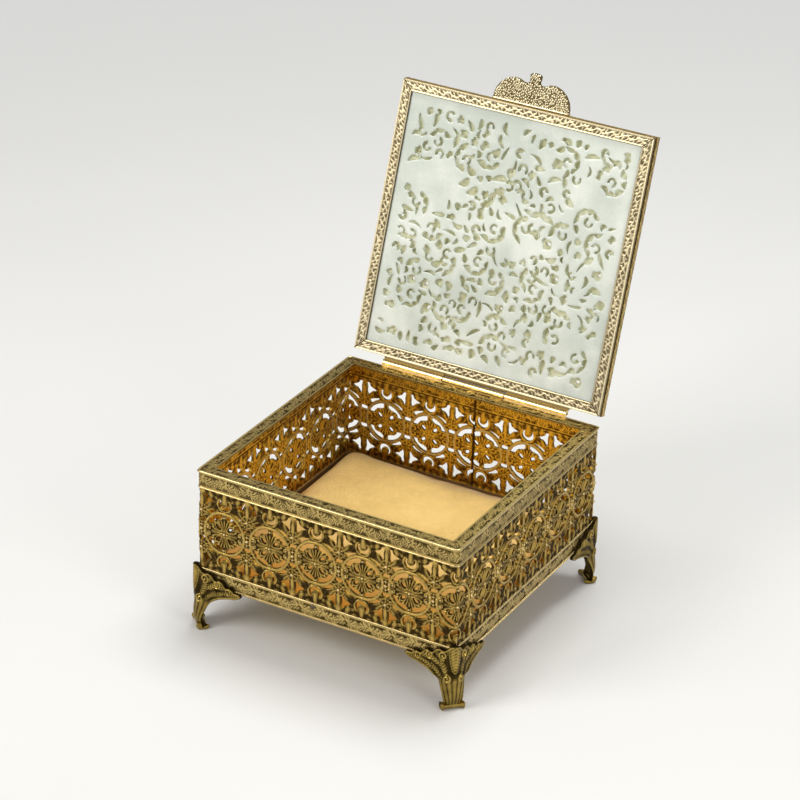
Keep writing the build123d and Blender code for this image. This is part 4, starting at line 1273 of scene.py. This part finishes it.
class KEEPSAKE_OT_feet(bpy.types.Operator):
    """Makes the four cast corner feet"""

    bl_idname = "keepsake.feet"
    bl_label = "Corner feet"

    # Outline over the corner: way round it from the edge, height from the casing's lower edge
    upper = [(24.5, -0.3), (23.6, 0.7), (21.0, 0.7), (20.2, 1.6), (18.6, 2.4), (17.0, 1.9), (16.2, 2.4),
             (15.2, 4.0), (13.4, 4.8), (11.6, 3.9), (10.9, 4.4), (9.6, 6.0), (7.8, 6.7), (5.6, 6.1),
             (4.6, 6.8), (3.0, 8.7), (1.4, 9.4), (0.0, 9.5)]
    lower = [(24.5, -0.3), (24.0, -1.1), (21.4, -2.5), (18.5, -3.0), (16.0, -3.7), (13.6, -4.5), (11.2, -5.8),
             (9.4, -7.3), (8.0, -9.3), (6.9, -11.7), (5.9, -14.3), (4.9, -17.2), (4.6, -19.3), (4.9, -20.3),
             (0.0, -20.3)]
    tongue = [(0, 9.0), (1.8, 8.4), (2.7, 6.8), (2.6, 4.2), (2.0, 1.0), (1.1, -2.0), (0, -3.4), (-1, 0)]
    # Leaves as in ROSETTE_LEAVES, and curls as centre, radius, direction and height
    leaves = [(18.3, -0.9, 6, 12.4, 1.5, 0.62, 1.15), (14.6, 1.5, 12, 8.4, 1.7, 0.66, 1.2),
              (12.6, -2.5, 22, 11.0, 1.5, 0.62, 1.2), (10.2, 0.9, 34, 8.6, 1.9, 0.70, 1.3),
              (8.6, -4.2, 46, 9.0, 1.5, 0.60, 1.2), (5.6, -1.6, 68, 8.0, 2.0, 0.66, 1.3),
              (8.9, 4.4, 70, 4.4, 1.3, 0.62, 1.0), (20.4, 0.6, 24, 4.4, 1.0, 0.55, 0.9),
              (3.5, 6.6, 96, 4.6, 1.3, 0.55, 1.0)]
    curls = [(5.9, 3.7, 2.1, 250, 0.86), (12.3, 2.5, 1.9, 250, 0.84), (17.7, 0.5, 1.5, 250, 0.76),
             (3.6, -6.6, 1.9, 80, 0.80)]
    # Toe's section: out along the diagonal from the corner, height over the floor
    toe_section = [(0.9, 2.7), (1.05, 1.9), (0.75, 0.95), (0.2, 0.35), (-0.6, 0.05), (-1.4, 0.0), (-2.4, 0.0),
                   (-3.1, 0.35), (-3.5, 0.95), (-3.45, 1.55), (-3.0, 1.9), (-2.5, 1.75), (-2.2, 1.35),
                   (-1.7, 1.15), (-1.0, 1.35), (-0.65, 1.9), (-0.5, 2.7)]
    toe_half = 5.6

    def corner_point(self, along, across, z):
        """Place from the front right corner: along its diagonal, across it, and the height z."""
        return flat_place(HALF + (along + across) * DIAGONAL, -HALF - (along - across) * DIAGONAL, z)

    def path_point(self, a, z, out):
        """Place over the corner for the way a round it, the height z and the distance out of the surface."""
        low = step(-1.0, -9.0, z)
        bend = 1.6 + 3.8 * low + 2.4 * step(-15.0, -20.0, z)
        limit = np.radians(45 + 38 * step(-6.0, -10.0, z))
        push = 1.7 - 0.45 * low + 0.35 * step(-9.0, -14.5, z) - 1.25 * step(-15.5, -20.6, z)
        turn = np.clip(a / bend, -limit, limit)
        rest = a - turn * bend
        reach = bend + out
        along = push - bend + reach * np.cos(turn) - rest * np.sin(turn)
        return self.corner_point(along, reach * np.sin(turn) + rest * np.cos(turn), z)

    def relief(self, a, z):
        """Leaves on the wings, a tongue at the corner, scrolls beside it and flutes down the ankle."""
        b = np.abs(a)
        low = step(-5.5, -8.0, z)
        width = np.clip(7.6 - 0.31 * np.clip(-z - 6, 0, 14), 3.4, 8)
        flutes = 0.30 * np.abs(np.sin((b / width) * math.pi * 2.9 + math.pi / 2)) ** 0.6
        h = 0.17 + 0.05 * cuts(0.5 * b - z, 1.3) * (1 - low)
        h = h + low * flutes * np.clip(1.15 - (b / (width * 1.2)) ** 8, 0, 1)
        parts = [leaf(b, z, *row) for row in self.leaves] + [curl(b, z, *row) for row in self.curls]
        h = np.maximum(h, np.maximum.reduce(parts) * step(-20, -3, z) ** 0.3)
        tongue = polygon_distance(b, z, self.tongue)
        shell = 0.26 + 0.26 * np.clip(-tongue / 1.6, 0, 1) ** 0.7 + 0.10 * cuts(z + 0.9 * b, 1.45)
        h = np.where(tongue < 0.1, shell, h)
        return np.maximum(h, wire(tongue - 0.25, 0.28, 0.52) * (z > -3.8))

    def toe(self):
        """Scrolled toe: a hooked section across the diagonal with rounded, flared ends."""
        section, middle = np.array(self.toe_section), np.array([-0.9, 1.15])
        across = np.linspace(-self.toe_half, self.toe_half, 33)
        rows = []
        for w in across:
            end = abs(w) / self.toe_half
            flare = 0.92 + 0.40 * math.exp(-((end - 0.84) / 0.15) ** 2)
            size = flare * math.sqrt(max(1 - max((end - 0.8) / 0.2, 0) ** 2, 0.03))
            ribs = 1 + 0.03 * math.cos(w * math.tau / 1.6)
            placed = middle + (section - middle) * size * ribs
            rows.append(self.corner_point(placed[:, 0], w, FLOOR + np.maximum(placed[:, 1], 0.0)))
        sides, *ends = tube_faces(len(across) - 1, len(section))
        return np.concatenate(rows), [sides[:, ::-1], *ends]

    def execute(self, context):
        outline = self.upper + mirrored(self.upper[-2::-1]) + mirrored(self.lower[1:-1]) + self.lower[-2:0:-1]
        cell = 0.27
        x, y, layers = cut_grid(np.arange(-25.0, 25.01, cell), np.arange(-20.6, 10.0, cell),
                                [lambda a, z: -polygon_distance(a, z, outline)])
        edge = -polygon_distance(x, y, outline)
        height = self.relief(x, y) * (0.25 + 0.75 * np.clip(edge / 0.6, 0, 1) ** 0.5)
        height = np.maximum(height, wire(edge - 0.55, 0.5, 0.52))
        front = self.path_point(x, y, height - 0.25).reshape(-1, 3)
        back = self.path_point(x, y, -1.25).reshape(-1, 3)
        toe_points, toe_faces = self.toe()
        points = np.concatenate([front, back, toe_points])
        faces = sheet_faces(layers == 0, x.shape) + [part + 2 * x.size for part in toe_faces]
        # The tone darkens the foot's recesses: partly patina, partly painted shade.
        relief = np.concatenate([-0.06 + 1.5 * height.ravel(), np.full(x.size, 0.35),
                                 np.full(len(toe_points), 0.66)])
        for name, sx, sy in (("front_right", 1, 1), ("front_left", -1, 1), ("back_right", 1, -1),
                             ("back_left", -1, -1)):
            turned = [part[:, ::-1] if sx * sy < 0 else part for part in faces]
            obj = new_mesh_object("leafy_foot_" + name, points * np.array([sx, sy, 1]), turned,
                                  {"relief": relief}, finishes["foot_gilt"], crease=50)
            finish_piece(obj, "body", "foot_brass", "foot_" + name)
        return {"FINISHED"}


class KEEPSAKE_OT_pad(bpy.types.Operator):
    """Makes the velvet pad, swollen by a cloth simulation over its board"""

    bl_idname = "keepsake.pad"
    bl_label = "Velvet pad"

    # Share of the height and inset of the rings that the cover starts from
    profile = [(0.0, 2.6), (0.12, 1.2), (0.35, 0.2), (0.55, 0.0), (0.72, 0.5), (0.84, 1.7), (0.92, 4.0)]
    corner = 5.0
    frames = 20

    def execute(self, context):
        low, high = (np.array(corner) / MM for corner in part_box("velvet_pad"))
        half_x, half_y = (high[0] - low[0]) / 2 - 1.0, (high[1] - low[1]) / 2 - 1.0
        bottom = low[2] + 0.1
        bm = bmesh.new()
        rings = []
        for share, inset in self.profile:
            height = bottom + share * (high[2] - bottom) - 0.2
            ring = []
            for cx, cy, begin in ((1, 1, 0), (-1, 1, 90), (-1, -1, 180), (1, -1, 270)):
                for k in range(7):
                    turn = math.radians(begin + 15 * k)
                    x = cx * (half_x - inset - self.corner) + self.corner * math.cos(turn)
                    y = cy * (half_y - inset - self.corner) + self.corner * math.sin(turn)
                    ring.append(bm.verts.new((x * MM, y * MM, height * MM)))
            rings.append(ring)
        join_rings(bm, rings)
        obj = shape_object("velvet_pad_cover", bm)
        for other in context.view_layer.objects:
            other.select_set(other is obj)
        context.view_layer.objects.active = obj
        remesh = obj.modifiers.new("Remesh", "REMESH")
        remesh.mode = "VOXEL"
        remesh.voxel_size = 2.4 * MM
        bake(obj)
        self.swell(context, obj, bottom)
        divide = obj.modifiers.new("Smooth", "SUBSURF")
        divide.levels = divide.render_levels = 1
        final = bake(obj)
        final.materials.append(finishes["velvet"])
        final.shade_smooth()
        finish_piece(obj, "body", "velvet", "velvet_pad")
        return {"FINISHED"}

    def swell(self, context, obj, bottom):
        """Fills the cover with a little pressure, its underside held by the board."""
        start = np.array([vertex.co[:] for vertex in obj.data.vertices])
        held = obj.vertex_groups.new(name="held")
        for k, place in enumerate(start):
            if place[2] < (bottom + 2.0) * MM:
                held.add([k], 1.0, "REPLACE")
        settings = obj.modifiers.new("Cloth", "CLOTH").settings
        settings.quality = 5
        settings.mass = 0.3
        settings.tension_stiffness = settings.compression_stiffness = 18
        settings.bending_stiffness = 1.2
        settings.use_pressure = True
        settings.uniform_pressure_force = 4
        settings.vertex_group_mass = held.name
        settings.effector_weights.gravity = 0
        for number in range(1, self.frames + 1):
            context.scene.frame_set(number)
        shaped = bake(obj)
        context.scene.frame_set(1)
        moved = np.array([vertex.co[:] for vertex in shaped.vertices]) - start
        size = np.linalg.norm(moved, axis=1, keepdims=True)
        cap = context.scene.keepsake_sizes.pad_swell
        moved *= np.minimum(1.0, cap / np.maximum(size, 1e-9))
        low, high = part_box("velvet_pad")
        shaped.vertices.foreach_set("co", np.clip(start + moved, low, high).ravel())


class KEEPSAKE_OT_bezel(bpy.types.Operator):
    """Makes the mitred engraved strips round the plaque's inner face"""

    bl_idname = "keepsake.bezel"
    bl_label = "Lid bezel"

    section = [(5.0, FACE_W, 20), (0.0, FACE_W, 3), (0.0, -0.5, 1), (0.8, -0.5, 1), (0.8, 0.0, 2),
               (5.0, 0.0, 2)]

    def engraving(self, along, edge, way, to_mitre):
        wave = along * math.tau / 7.0
        q = way - 2.5
        off = q - 0.75 * np.sin(wave)
        sweep = off - 0.22 * off * np.abs(off)
        leaning = along + np.sign(np.cos(wave)) * 1.1 * sweep + 0.25 * np.sin(1.7 * along + 2 * q)
        h = 0.12 * strokes(leaning * math.tau / 1.9, 0.7) * np.clip(1 - (q / 1.8) ** 6, 0, 1)
        h = np.maximum(h, wire(off, 0.42, 0.14))
        h = np.maximum(h, wire(np.abs(q) - 2.1, 0.4, 0.16))
        cut = 1 - 0.9 * (np.abs(to_mitre) < 0.3)
        return (np.where(edge == 0, h * cut - 0.16 - 0.08 * (1 - cut), 0),
                np.where(edge == 0, (0.38 + 4.4 * h) * cut, np.where(edge == 5, 0.25, 0.6)))

    def execute(self, context):
        for side, obj in mitred_frame("bezel_", LID_HALF_U, LID_HALF_V, self.section, 0.36, self.engraving,
                                      lid_place, "bezel_gilt"):
            finish_piece(obj, "lid", "bezel_brass", "lid_bezel_" + side)
        return {"FINISHED"}


class KEEPSAKE_OT_rails(bpy.types.Operator):
    """Makes the lid's outer frame with its textured band and show face"""

    bl_idname = "keepsake.rails"
    bl_label = "Lid frame"

    section = [(-0.35, -1.1, 2), (0.9, -1.1, 2), (0.9, 0.0, 1), (1.8, 0.0, 2), (1.8, -4.2, 2), (5.5, -4.2, 1),
               (5.5, -5.1, 18), (-0.35, -5.1, 13)]
    show_side, band_side = 6, 7
    bumps = np.random.default_rng(5).uniform(0, math.tau, 2)

    def texture(self, along, edge, way, to_mitre):
        wave = along * math.tau / 5.2
        middle = way - 2.0
        scroll = wire(middle - 0.9 * np.sin(wave), 0.55, 0.26)
        lumps = 0.10 * np.sin(along * 3.1 + self.bumps[0]) * np.sin(
            way * 3.7 + self.bumps[1] + 0.6 * np.sin(along * 0.9))
        side = np.maximum(scroll, 0.14 + lumps) * np.clip(1 - (middle / 2.0) ** 6, 0, 1)
        q = way - 2.9
        turn = along * math.tau / 11.4
        vine = 0.9 * np.sin(turn)
        leaves = np.cos((along * 0.8 + np.sign(np.cos(turn)) * (q - vine)) * math.tau / 1.3)
        show = np.maximum(0.16 * leaves * np.clip(1 - (q / 2.1) ** 4, 0, 1), wire(q - vine, 0.42, 0.2))
        show = np.maximum(show, wire(np.abs(q) - 2.45, 0.34, 0.22)) - 0.12
        h = np.where(edge == self.band_side, side - 0.26, np.where(edge == self.show_side, show - 0.1, 0))
        tone = np.where(edge == self.band_side, 0.1 + 3.2 * side,
                        np.where(edge == self.show_side, 0.55 + 2.6 * show, 0.45))
        return h * np.clip(to_mitre / 0.5 + 0.15, 0, 1), tone

    def execute(self, context):
        for side, obj in mitred_frame("frame_rail_", LID_HALF_U, LID_HALF_V, self.section, 0.4, self.texture,
                                      lid_place, "rail_gilt"):
            finish_piece(obj, "lid", "frame_brass", "lid_frame_" + side)
        return {"FINISHED"}


class KEEPSAKE_OT_plaque(bpy.types.Operator):
    """Carves the jade plaque with scrolls, leaves and small piercings"""

    bl_idname = "keepsake.plaque"
    bl_label = "Jade plaque"

    # Kinds of marks by number: leaf, club, lobed pit and hooked ring, each with its least and greatest width
    leaf_mark, club_mark, pit_mark, ring_mark = range(4)
    widths = [(1.7, 3.9), (1.5, 3.0), (2.4, 4.4), (1.1, 1.7)]
    scrolls = 34
    cells = 236
    margin = 6.2

    def carve(self, context):
        """The cutter's marks, kept apart, as rows of (u, v, angle, length, width, bend, kind)."""
        sizes = context.scene.keepsake_sizes
        rng = np.random.default_rng(sizes.carving_seed)
        marks = []

        def add(u, v, angle, length, width, bend, kind, gap):
            if abs(u) + 0.35 * length > 53.6 or abs(v) + 0.35 * length > 53.7:
                return
            for m in marks:
                if math.hypot(m[0] - u, m[1] - v) < gap + 0.24 * (length + m[3]) + 0.18 * (width + m[4]):
                    return
            marks.append((u, v, angle, length, width, bend, kind))

        for _ in range(self.scrolls):
            u, v = rng.uniform(-48, 48, 2)
            turn, hand = rng.uniform(0, math.tau), rng.choice([-1, 1])
            add(u, v, turn, 4.6, 1.25, hand, self.ring_mark, 0.9)
            for k in range(rng.integers(3, 6)):
                a = turn + hand * (0.5 + 0.72 * k)
                r = 4.7 + 0.5 * k
                add(u + r * math.cos(a), v + r * math.sin(a), a + 1.3 * hand, rng.uniform(3.4, 5.6),
                    rng.uniform(1.9, 3.0), hand * rng.uniform(0.2, 1.0), self.leaf_mark, 0.1)
        for _ in range(sizes.hole_count):
            u, v = rng.uniform(-54, 54, 2)
            calm = math.sin(u * 0.082 + 1.3) * math.cos(v * 0.10 + 0.5) + 0.5 * math.sin(v * 0.19 + u * 0.05)
            if calm > 0.62:
                continue
            flow = 1.6 * math.sin(u * 0.09) + 1.9 * math.cos(v * 0.085 + 0.7) + rng.uniform(-0.7, 0.7)
            kind = rng.choice([0, 0, 1, 1, 2, 2, 3])
            length = rng.uniform(3.2, 8.2)
            width = [rng.uniform(*limits) for limits in self.widths][kind]
            if kind == self.pit_mark:
                length = rng.uniform(2.8, 6.0)
            if kind == self.ring_mark:
                length = rng.uniform(3.8, 5.2)
                bend = rng.choice([-1, 1])
            else:
                bend = rng.uniform(-1.3, 1.3) * (0.4 if kind == self.pit_mark else 1)
            add(u, v, flow, length, width, bend, kind, rng.uniform(0.0, 1.1))
        return np.array(marks)

    def hollow(self, u, v, marks):
        """Distance from the carved marks, positive in the polished face."""
        shape = np.shape(u)
        u, v = np.ravel(u), np.ravel(v)
        best = np.full(u.shape, 3.0)
        for mu, mv, angle, length, width, bend, kind in marks:
            near = np.nonzero((np.abs(u - mu) < length) & (np.abs(v - mv) < length))[0]
            if not len(near):
                continue
            c, s = math.cos(angle), math.sin(angle)
            p = (u[near] - mu) * c + (v[near] - mv) * s
            q = -(u[near] - mu) * s + (v[near] - mv) * c
            if kind == self.ring_mark:
                thick = width / 2 * (1.1 + 0.5 * q * bend / length)
                ring = np.abs(np.hypot(p, q) - (length - width) / 2) - thick
                opening = 0.35 * length - np.hypot(p - 0.42 * length, q - 0.25 * bend * length)
                best[near] = np.minimum(best[near], np.maximum(ring, opening))
                continue
            t = np.clip(2 * p / length, -1, 1)
            q = q - bend * (1 - t * t) + bend * 0.5
            if kind == self.leaf_mark:
                half = width / 2 * np.clip(1 - t * t, 0, 1) ** 0.6 * (1 - 0.35 * t)
            elif kind == self.club_mark:
                half = width / 2 * np.clip(1 - t ** 4, 0, 1) * (0.75 + 0.4 * t)
            else:
                half = width / 2 * np.clip(1 - t * t, 0, 1) ** 0.35 * (1 + 0.25 * np.sin(t * 4 + angle))
            best[near] = np.minimum(best[near], np.maximum(np.abs(q) - half, np.abs(p) - length / 2))
        return best.reshape(shape)

    def execute(self, context):
        marks = self.carve(context)

        def hollow(u, v):
            return self.hollow(u, v, marks)

        def pierced(u, v):
            """The small places where the cutter went right through."""
            gate = np.sin(u * 0.9 + 1.0) * np.sin(v * 0.8 + 2.0) + 0.5 * np.sin(u * 0.31 + v * 0.27)
            return hollow(u, v) + 1.3 + 0.9 * np.clip(0.7 - gate, 0, 2)

        x, y, layers = cut_grid(np.linspace(-PLAQUE_HALF_U, PLAQUE_HALF_U, self.cells + 1),
                                np.linspace(-PLAQUE_HALF_V, PLAQUE_HALF_V, self.cells + 1), [hollow, pierced])
        d = hollow(x, y)
        n = x.size
        slope = 0.5 + 0.5 * np.sin(x * 0.7 + 0.9 * np.sin(y * 0.5)) * np.cos(y * 0.6)
        face = PLAQUE_FACE_W - 0.10 * (1 - step(0.0, 0.55, d))
        floor = PLAQUE_FACE_W - 0.7 - 1.3 * slope - 0.5 * step(0, 0.8, -d)
        carved = PLAQUE_BACK_W + 0.85 * (1 - np.sqrt(np.clip(np.clip(d, 0, 1.6) / 1.6, 0, 1)))
        carved = carved + 0.22 * np.cos((x * np.cos(0.3 * y) + y) * 1.9) * step(0.4, 1.4, d)
        carved = np.where(d < 0, PLAQUE_BACK_W + 0.95, np.maximum(carved, PLAQUE_BACK_W))
        to_edge = np.minimum(PLAQUE_HALF_U - np.abs(x), PLAQUE_HALF_V - np.abs(y))
        carved = np.where(to_edge < self.margin, PLAQUE_BACK_W, carved)
        top, low, whole = layers == 0, layers == 1, layers < 2
        front_sheet, floor_sheet, back_sheet, plane = (
            lid_place(x, y, w).reshape(-1, 3) for w in (face, floor, carved, PLAQUE_FACE_W))

        faces = [cell_faces(top, x.shape, 0), cell_faces(low, x.shape, n)]
        faces += edge_walls(top, x.shape, 0, n, (False, False))
        faces += edge_walls(whole, x.shape, n, 2 * n, (False, False))
        # The stone's olive and painted shade: slight at the holes' edges, more on their floors, most on the
        # layer behind the piercings.
        rim_dark = 0.10 * (1 - step(0.0, 0.5, d))
        floor_dark = 0.14 + 0.30 * slope + 0.36 * step(0.0, 0.9, -d)
        depth = np.concatenate([rim_dark.ravel(), floor_dark.ravel(), np.full(n, 0.9)])
        obj = new_mesh_object("jade_carving", np.concatenate([front_sheet, floor_sheet, back_sheet]), faces,
                              {"depth": depth}, finishes["jade"], crease=40)
        finish_piece(obj, "lid", "jade", "jade_plaque")

        faces = [cell_faces(whole, x.shape, 0, True), *edge_walls(np.ones_like(top), x.shape, n, 0)]
        shade = 0.14 + 0.5 * np.clip((carved - PLAQUE_BACK_W) / 1.6, 0, 1)
        depth = np.concatenate([shade.ravel(), np.zeros(n)])
        back = new_mesh_object("jade_show_face", np.concatenate([back_sheet, plane]), faces, {"depth": depth},
                               finishes["jade"], crease=50)
        finish_piece(back, "lid", "jade")
        return {"FINISHED"}


class KEEPSAKE_OT_thumb(bpy.types.Operator):
    """Makes the lobed, pebbled thumb-piece"""

    bl_idname = "keepsake.thumb"
    bl_label = "Thumb-piece"

    # Half outline from the foot up to the middle lobe, from the root
    half = [(18.9, 0.0), (19.0, 2.4), (18.2, 5.2), (16.4, 8.0), (13.6, 10.2), (10.4, 11.3), (7.6, 11.1),
            (5.0, 10.0), (3.4, 9.9), (2.6, 11.0), (2.9, 12.4), (3.0, 13.8), (2.0, 14.7), (0.0, 14.9)]
    root = LID_MIDDLE_V + LID_HALF_V + 0.35
    middle = -3.1

    def execute(self, context):
        outline = self.half + mirrored(self.half[-2::-1])
        cell = 0.3
        x, y, layers = cut_grid(np.arange(-19.5, 19.51, cell), np.arange(-0.001, 15.3, cell),
                                [lambda u, v: -polygon_distance(u, v, outline)])
        solid = layers == 0
        inside = np.clip(-polygon_distance(x, y, outline), 0, 3)
        edge = 0.28 * (1 - np.sqrt(np.clip(inside / 0.8, 0, 1)))
        ribs = 0.16 * np.cos(np.arctan2(np.abs(x) - 9.5, y + 2.5) * 13) * step(0.5, 1.6, inside)
        front = lid_point(x, y + self.root, self.middle + 0.45 - edge - 0.12).reshape(-1, 3)
        back = lid_point(x, y + self.root, self.middle - 0.45 + edge).reshape(-1, 3)
        # The tone darkens the ribs' grooves: partly patina, partly painted shade.
        relief = np.concatenate([np.full(x.size, 0.28), 0.55 + 2.2 * ribs.ravel()])
        plate = new_mesh_object("thumb_plate", np.concatenate([front, back]), sheet_faces(solid, x.shape),
                                {"relief": relief}, finishes["thumb_gilt"], crease=50)
        finish_piece(plate, "lid", "foot_brass", "thumb_piece")
        pebbled = solid & (np.minimum(inside[:-1, :-1], inside[1:, 1:]) > 0.35)
        ground = new_mesh_object("pebble_ground", front, [cell_faces(pebbled, x.shape, 0)], smooth=False)
        pebble = small_ball("pebble", (0.62, 0.62, 0.34), 1)
        made = run_tree("thumb_pebbles", pebble_tree(), {
            "Surface": ground, "Shape": pebble, "Material": finishes["pebble_gilt"], "Spacing": 0.82 * MM,
            "Density": 4.0e6, "Smallest": 0.75, "Largest": 1.15, "Seed": 7})
        finish_piece(made, "lid", "foot_brass")
        clear_away(ground, pebble)
        finish_piece(self.foot_strip(), "lid", "foot_brass")
        return {"FINISHED"}

    def foot_strip(self):
        """Strip along the thumb-piece's foot where it is soldered to the front rail."""
        bm = bmesh.new()
        corners = [(0.0, -1.3), (0.9, -1.3), (0.9, 1.3), (0.0, 1.3)]
        loops = []
        for k in range(39):
            u = -18.9 + 37.8 * k / 38
            wave = 1 + 0.12 * math.cos(k * math.pi)
            places = [lid_point(u, self.root + v * wave, self.middle + w) * MM for v, w in corners]
            loops.append([bm.verts.new(tuple(place)) for place in places])
        join_rings(bm, loops)
        bmesh.ops.recalc_face_normals(bm, faces=bm.faces)
        bmesh.ops.bevel(bm, geom=bm.edges, offset=0.15 * MM, segments=1, affect="EDGES")
        obj = shape_object("thumb_foot_strip", bm)
        obj.data.materials.append(finishes["pebble_gilt"])
        return obj


class KEEPSAKE_OT_hardware(bpy.types.Operator):
    """Gives the hinge, the base and the pad's board their finishes"""

    bl_idname = "keepsake.hardware"
    bl_label = "Hinge, base and board"

    chosen = {"hinge_body_leaf": "knuckle_gilt", "hinge_lid_leaf": "knuckle_gilt", "hinge_pin": "pin_metal",
              "base_pan": "base_gilt", "pad_board": "card"}
    # Section of the lid leaf's edge that lies against the barrel, as v and w
    lip = [(1.43, 0.0), (1.5, 0.08), (1.85, -0.3), (1.85, -1.3), (1.55, -1.3), (1.43, -0.5)]

    def execute(self, context):
        for node, finish in self.chosen.items():
            mesh = frame["nodes"][node].data
            mesh.materials.clear()
            mesh.materials.append(finishes[finish])
        us = np.linspace(-15.5, 15.5, 25)
        points = lid_point(us[:, None], *np.array(self.lip).T).reshape(-1, 3)
        faces = tube_faces(len(us) - 1, len(self.lip))
        lip = new_mesh_object("hinge_leaf_lip", points, faces, material=finishes["knuckle_gilt"])
        outward(lip)
        finish_piece(lip, "lid", "hinge_brass")
        return {"FINISHED"}


class KEEPSAKE_PT_pieces(bpy.types.Panel):
    """Lists the box's pieces in the sidebar"""

    bl_idname = "KEEPSAKE_PT_pieces"
    bl_label = "Keepsake Box"
    bl_space_type = "VIEW_3D"
    bl_region_type = "UI"
    bl_category = "Keepsake Box"

    def draw(self, context):
        for group in (context.scene.keepsake_sizes, context.scene.keepsake_finish):
            box = self.layout.box()
            for key in group.__annotations__:
                box.prop(group, key)
        for operator in operators:
            self.layout.operator(operator.bl_idname)


operators = [KEEPSAKE_OT_stage, KEEPSAKE_OT_walls, KEEPSAKE_OT_bead_lines, KEEPSAKE_OT_rim,
             KEEPSAKE_OT_screws, KEEPSAKE_OT_feet, KEEPSAKE_OT_pad, KEEPSAKE_OT_bezel, KEEPSAKE_OT_rails,
             KEEPSAKE_OT_plaque, KEEPSAKE_OT_thumb, KEEPSAKE_OT_hardware]
classes = [KeepsakeSizes, KeepsakeFinish, *operators, KEEPSAKE_PT_pieces]


def register():
    for item in classes:
        bpy.utils.register_class(item)
    bpy.types.Scene.keepsake_sizes = PointerProperty(type=KeepsakeSizes)
    bpy.types.Scene.keepsake_finish = PointerProperty(type=KeepsakeFinish)


def unregister():
    del bpy.types.Scene.keepsake_finish
    del bpy.types.Scene.keepsake_sizes
    for item in reversed(classes):
        bpy.utils.unregister_class(item)


def main():
    register()
    make_finishes()
    for operator in operators:
        group, action = operator.bl_idname.split(".")
        getattr(getattr(bpy.ops, group), action)()


if __name__ == "__main__":
    main()
